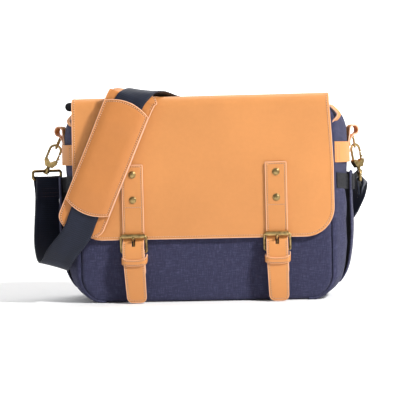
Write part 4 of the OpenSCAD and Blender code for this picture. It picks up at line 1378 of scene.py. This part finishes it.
LEG_ROWS = looped_end(LEFT, "left", 27) + [
    ((-217, -10, 105), (0.82, 0.55, -0.05)),
    ((-215, -24, 76), (0.9, 0.38, -0.18)),
    ((-209, -43, 56), (0.94, 0.22, -0.24)),
    ((-203, -58, 49.5), (0.95, 0.1, -0.27)),
    ((-197, -71, 52), (0.93, 0.04, -0.34)),
    ((-188, -79, 66), (0.91, 0, -0.41)),
    (PAD_FOOT - PAD_ALONG * 24, PAD_ACROSS),
    (PAD_FOOT, PAD_ACROSS),
    (PAD_FOOT + PAD_ALONG * 30, PAD_ACROSS),
    (PAD_FOOT + PAD_ALONG * 74, PAD_ACROSS),
]

OVER_ROWS = [
    (PAD_FOOT + PAD_ALONG * 84, PAD_ACROSS),
    (PAD_FOOT + PAD_ALONG * 120, PAD_ACROSS),
    (PAD_FOOT + PAD_ALONG * 160, PAD_ACROSS),
    ((-86, -78, 270), (0.93, -0.1, -0.33)),
    ((-77, -66, 276), (0.93, -0.3, -0.18)),
    ((-66, -40, 274.5), (0.93, -0.37, 0)),
    ((-52, 0, 269.4), (0.93, -0.37, 0)),
    ((-41, 40, 268.2), (0.93, -0.37, 0)),
    ((-35, 61, 267.0), (0.93, -0.33, 0.12)),
    ((-29, 71.5, 259), (0.93, -0.1, 0.33)),
    ((-19, 73, 246), (0.93, 0, 0.37)),
    ((-15.8, 73, 238), (0.93, 0, 0.37)),
    ((-7, 73, 215), (0.93, 0, 0.37)),
    ((13, 73, 165), (0.93, 0, 0.37)),
    ((33, 73, 118), (0.85, 0, 0.5)),
    ((62, 74, 88), (0.5, 0, 0.85)),
    ((105, 76, 76), (0.05, 0, 1)),
    ((148, 76, 84), (-0.35, 0.05, 0.93)),
    ((180, 73, 104), (-0.6, 0.25, 0.75)),
    ((200, 61, 134), (-0.6, 0.55, 0.5)),
    ((209, 41, 155), (-0.35, 0.8, 0.4)),
    ((207, 12, 147), (-0.15, 0.95, 0.2)),
] + looped_end(RIGHT, "right", 19)[::-1]

web_strip("shoulder_web_left", LEG_ROWS, ["strap_left_leg"],
          (("bag", "flap"), (0, -0.006, 0), (0, -0.081, 0)), 0.3)
web_strip("shoulder_web_over", OVER_ROWS, ["strap_front", "strap_rear"],
          (("flap", "bag"), (0, 0.050, 0.270), (0.0042, 0.064, 0.2644)), 0.3)


def web_end_stitches(side, word):
    """Rows of thread across the sewn end of the webbing below its ring."""
    bar, across, out = ring_frame(side, word)
    rows = []
    for drop in (12.5, 18.5, 23.5):
        us = np.linspace(-16, 16, 14)[:, None]
        line = bar + out * (1.8 + WEB_THICK / 2) - np.array([0, 0, drop]) + us * across
        rows.append((line, out))
    stitches(word + "_web_stitches", rows, "bag", "webbing", dark_thread, pitch=2.6,
             length=2.0, radius=0.4, sink=0.1)


for side, word in SIDES:
    web_end_stitches(side, word)


PAD_ROWS = [
    (PAD_FOOT + PAD_ALONG * -24, PAD_ACROSS),
    (PAD_FOOT + PAD_ALONG * -8, PAD_ACROSS),
    (PAD_FOOT, PAD_ACROSS),
    (PAD_FOOT + PAD_ALONG * 83, PAD_ACROSS),
    (PAD_FOOT + PAD_ALONG * 160, PAD_ACROSS),
    ((-86, -78, 270), (0.93, -0.1, -0.33)),
    ((-77, -66, 276), (0.93, -0.3, -0.18)),
    ((-71.5, -52, 275.6), (0.93, -0.37, 0)),
]


def pad_path():
    both = smooth_line(np.array([np.concatenate([c, a]) for c, a in PAD_ROWS]), 10)
    both = resample(both, 2.2)
    centre, across = both[:, :3], unit(both[:, 3:])
    along = unit(np.gradient(centre, axis=0))
    return centre, across, unit(np.cross(across, along))


def pad_half(s, total, end_low=21, end_high=19):
    """Half width of the pad's base, with its two rounded ends."""
    low = np.clip((end_low - s) / end_low, 0, 1)
    high = np.clip((end_high - (total - s)) / end_high, 0, 1)
    return PAD_HALF * np.sqrt(np.maximum(1 - low ** 2.4, 0)) * np.sqrt(np.maximum(1 - high ** 2.4, 0))


PAD_SLANT = 24.0
COVER_START, COVER_RUN, COVER_BOW, COVER_LONG, COVER_HALF = 38.5, 138, 9.0, 150, PAD_HALF - 0.4
COLUMNS = np.array([0, 0.15, 0.3, 0.45, 0.6, 0.7, 0.8, 0.86, 0.89, 0.92, 0.95, 0.972, 1])
COLUMNS = np.concatenate([-COLUMNS[:0:-1], COLUMNS])


def slanted(s, x, total):
    """The base's upper end is cut on a slant: its right side stops short of its left."""
    return s - PAD_SLANT * (x / PAD_HALF + 1) / 2 * np.clip((s - total + 50) / 50, 0, 1)


def pad_point(path, x, s, lift):
    """A point across and above the pad's route at a distance along it, with the normal there."""
    run, centre, across, normal = path
    n = at_run(run, normal, s)
    return at_run(run, centre, s) + x[..., None] * at_run(run, across, s) + lift[..., None] * n, n

def pad_base(path, half):
    """The leather under the cover, and the stitches round both its free lobes."""
    run = path[0]
    total = run[-1]
    x = half[:, None] * COLUMNS[None, :]
    long = run[:, None] + 0 * x
    inset = np.minimum(half[:, None] - np.abs(x), np.minimum(long, total - long))
    flat = np.stack([x, long, np.zeros_like(x)], axis=-1)
    waves = wrinkle(flat, 30, 0.5, -3.75) + wrinkle(flat, 11, 0.2, -1.25)
    lift = -1.25 - 0.35 * np.exp(-((inset - 3.0) / 0.8) ** 2) + waves
    grid, _ = pad_point(path, x, slanted(long, x, total), lift)
    piece = grid_piece("pad_base_leather", grid, np.stack([x, long], axis=-1),
                       [pad_leather_shaded, raw_edge, leather_back], bare=1, open_rows=())
    belong(thicken(piece, 2.2, 0.4), "flap", ["pad_base"])
    lobes = []
    for span in (run < 30, run > total - 36):
        for sign in (-1, 1):
            pick = span & (half - 3.0 > 2)
            x = sign * (half - 3.0)[pick]
            lobes.append(pad_point(path, x, slanted(run[pick], x, total), np.full(len(x), -1.1)))
    return lobes

def on_cover(path, u, t, off):
    """A point of the cover, u across and t from foot to head; its ends bow outwards."""
    bow = COVER_BOW * (1 - u ** 2)
    s = COVER_START - bow * (1 - t) + COVER_RUN * t + bow * t
    x, end = u * COVER_HALF, np.minimum(t, 1 - t) * COVER_LONG
    flat = np.stack([x, s, np.zeros_like(x)], axis=-1)
    drop = 1.9 * np.clip((np.abs(x) - 19.5) / 8, 0, 1) ** 1.2
    crown = 1.3 * (1 - u ** 2) * np.clip(end / 30, 0, 1)
    lift = 3.35 + off - drop + crown + wrinkle(flat, 34, 0.9, 7.7) + wrinkle(flat, 12, 0.22, 3.3)
    return (*pad_point(path, x, s, lift), flat)

def pad_cover(path):
    """Padded outer leather. Gives the lines that its stitches follow, all round."""
    margin = np.array([0, 0.9, 1.5, 2, 3, 4, 6])
    rows = np.concatenate([margin, np.linspace(9, 141, 48), COVER_LONG - margin[::-1]])
    t, u = np.meshgrid(rows / COVER_LONG, COLUMNS, indexing="ij")
    inset = np.minimum(COVER_HALF - np.abs(u * COVER_HALF), np.minimum(t, 1 - t) * COVER_LONG)
    grid, _, flat = on_cover(path, u, t, -0.4 * np.exp(-((inset - 3.0) / 0.8) ** 2))
    piece = grid_piece("pad_cover_leather", grid, flat[..., :2] + [200, 0],
                       [pad_leather_shaded, raw_edge, leather_back], bare=1, open_rows=())
    belong(thicken(piece, 2.0, 0.4), "flap", ["pad_cover"])
    edge = 1 - 3.0 / PAD_HALF
    rows = []
    for sign, end in ((-1, 0.02), (1, 0.98)):
        rows.append(on_cover(path, np.full(80, sign * edge), np.linspace(0.02, 0.98, 80), -0.25)[:2])
        rows.append(on_cover(path, np.linspace(-edge, edge, 40), np.full(40, end), -0.25)[:2])
    return rows

def pad_cushion(centre, across, normal, half):
    """Cushion between the pad's base and the flap."""
    ring = np.linspace(0, 2 * math.pi, 25)[:-1]
    wide = np.sign(np.cos(ring)) * np.abs(np.cos(ring)) ** 0.6
    deep = -5.2 + 1.5 * np.sign(np.sin(ring)) * np.abs(np.sin(ring)) ** 0.6
    points = centre[:, None] + (half[:, None] * wide)[..., None] * across[:, None] \
        + deep[None, :, None] * normal[:, None]
    faces = ring_faces(len(centre), len(ring)) + end_faces(len(centre), len(ring))
    cushion = puff(new_piece("pad_cushion", points.reshape(-1, 3), faces, [leather_back]), 4.0, 2.5, 1.2)
    belong(cushion, "flap")

def shoulder_pad():
    centre, across, normal = pad_path()
    normal = normal if normal[20][1] < 0 else -normal
    run = lengths(centre)
    half = pad_half(run, run[-1])
    keep = half > 4
    base = (lengths(centre[keep]), centre[keep], across[keep], normal[keep])
    lobes = pad_base(base, half[keep])
    seams = pad_cover((run, centre, across, normal))
    keep = half - 2.5 > 3
    pad_cushion(centre[keep], across[keep], normal[keep], half[keep] - 2.5)
    stitches("pad_cover_stitches", seams, "flap", pitch=3.0, length=1.8, radius=0.36, sink=0.05)
    stitches("pad_base_stitches", lobes, "flap", pitch=3.0, length=1.8, radius=0.36, sink=0.2)


shoulder_pad()


# ---- frame nodes that stay, with their finished materials --------------------

KEPT = {
    "brass": brass, "black_metal": black_metal, "lining": lining, "black_fabric": black_fabric,
    "leather": leather, "canvas": canvas, "webbing": webbing,
}
for row in frame["record"]["subparts"]:
    cad = frame["nodes"][row["node"]]
    for k in range(max(1, len(cad.material_slots))):
        if not cad.material_slots:
            cad.data.materials.append(KEPT[row["material_slot"]])
        else:
            cad.material_slots[k].material = KEPT[row["material_slot"]]


# ---- stage ------------------------------------------------------------------

def make_stage():
    wide, wall, far, ground = 4000, 6000, 2600, -0.6
    corners = [(x * wide, y * wide, ground) for x, y in ((-1, -1), (1, -1), (1, 1), (-1, 1))]
    floor = new_piece("floor", corners, [(0, 1, 2, 3)], [])
    m = Nodes("floor", (0.93, 0.93, 0.93), 0.9, specular=0.1)
    haze = m.noise(m.place(), 3, 2, 0.5)
    m.color(m.ramp(haze, [(0.3, (0.92, 0.92, 0.92)), (0.7, (0.94, 0.94, 0.94))]))
    floor.data.materials.append(m.material)
    # A wall that only glows: it stays white behind the bag while the room's own light is soft
    corners = [(x, far, z) for x, z in ((-wall, ground), (wall, ground), (wall, wall), (-wall, wall))]
    backdrop = new_piece("backdrop", corners, [(0, 1, 2, 3)], [])
    b = Nodes("backdrop", (1, 1, 1), 1.0, specular=0.0)
    b.shader.inputs["Emission Color"].default_value = (1, 1, 1, 1)
    b.shader.inputs["Emission Strength"].default_value = 1.0
    backdrop.data.materials.append(b.material)
    world = bpy.data.worlds.new("studio")
    bpy.context.scene.world = world
    world.use_nodes = True
    world.node_tree.nodes["Background"].inputs["Color"].default_value = (1, 1, 1, 1)
    world.node_tree.nodes["Background"].inputs["Strength"].default_value = 0.34
    lamps = (
        ("key", (1.7, -1.15, 1.8), 0.3, 86),
        ("top", (0.1, 0.5, 1.9), 1.0, 10),
    )
    for name, place, size, power in lamps:
        data = bpy.data.lights.new(name, "AREA")
        data.energy = power
        data.size = size
        lamp = bpy.data.objects.new(name, data)
        bpy.context.scene.collection.objects.link(lamp)
        lamp.location = place
        lamp.rotation_euler = (Vector((0, 0, 0.13)) - Vector(place)).to_track_quat("-Z", "Y").to_euler()
    bpy.context.scene.view_settings.view_transform = "Standard"


make_stage()
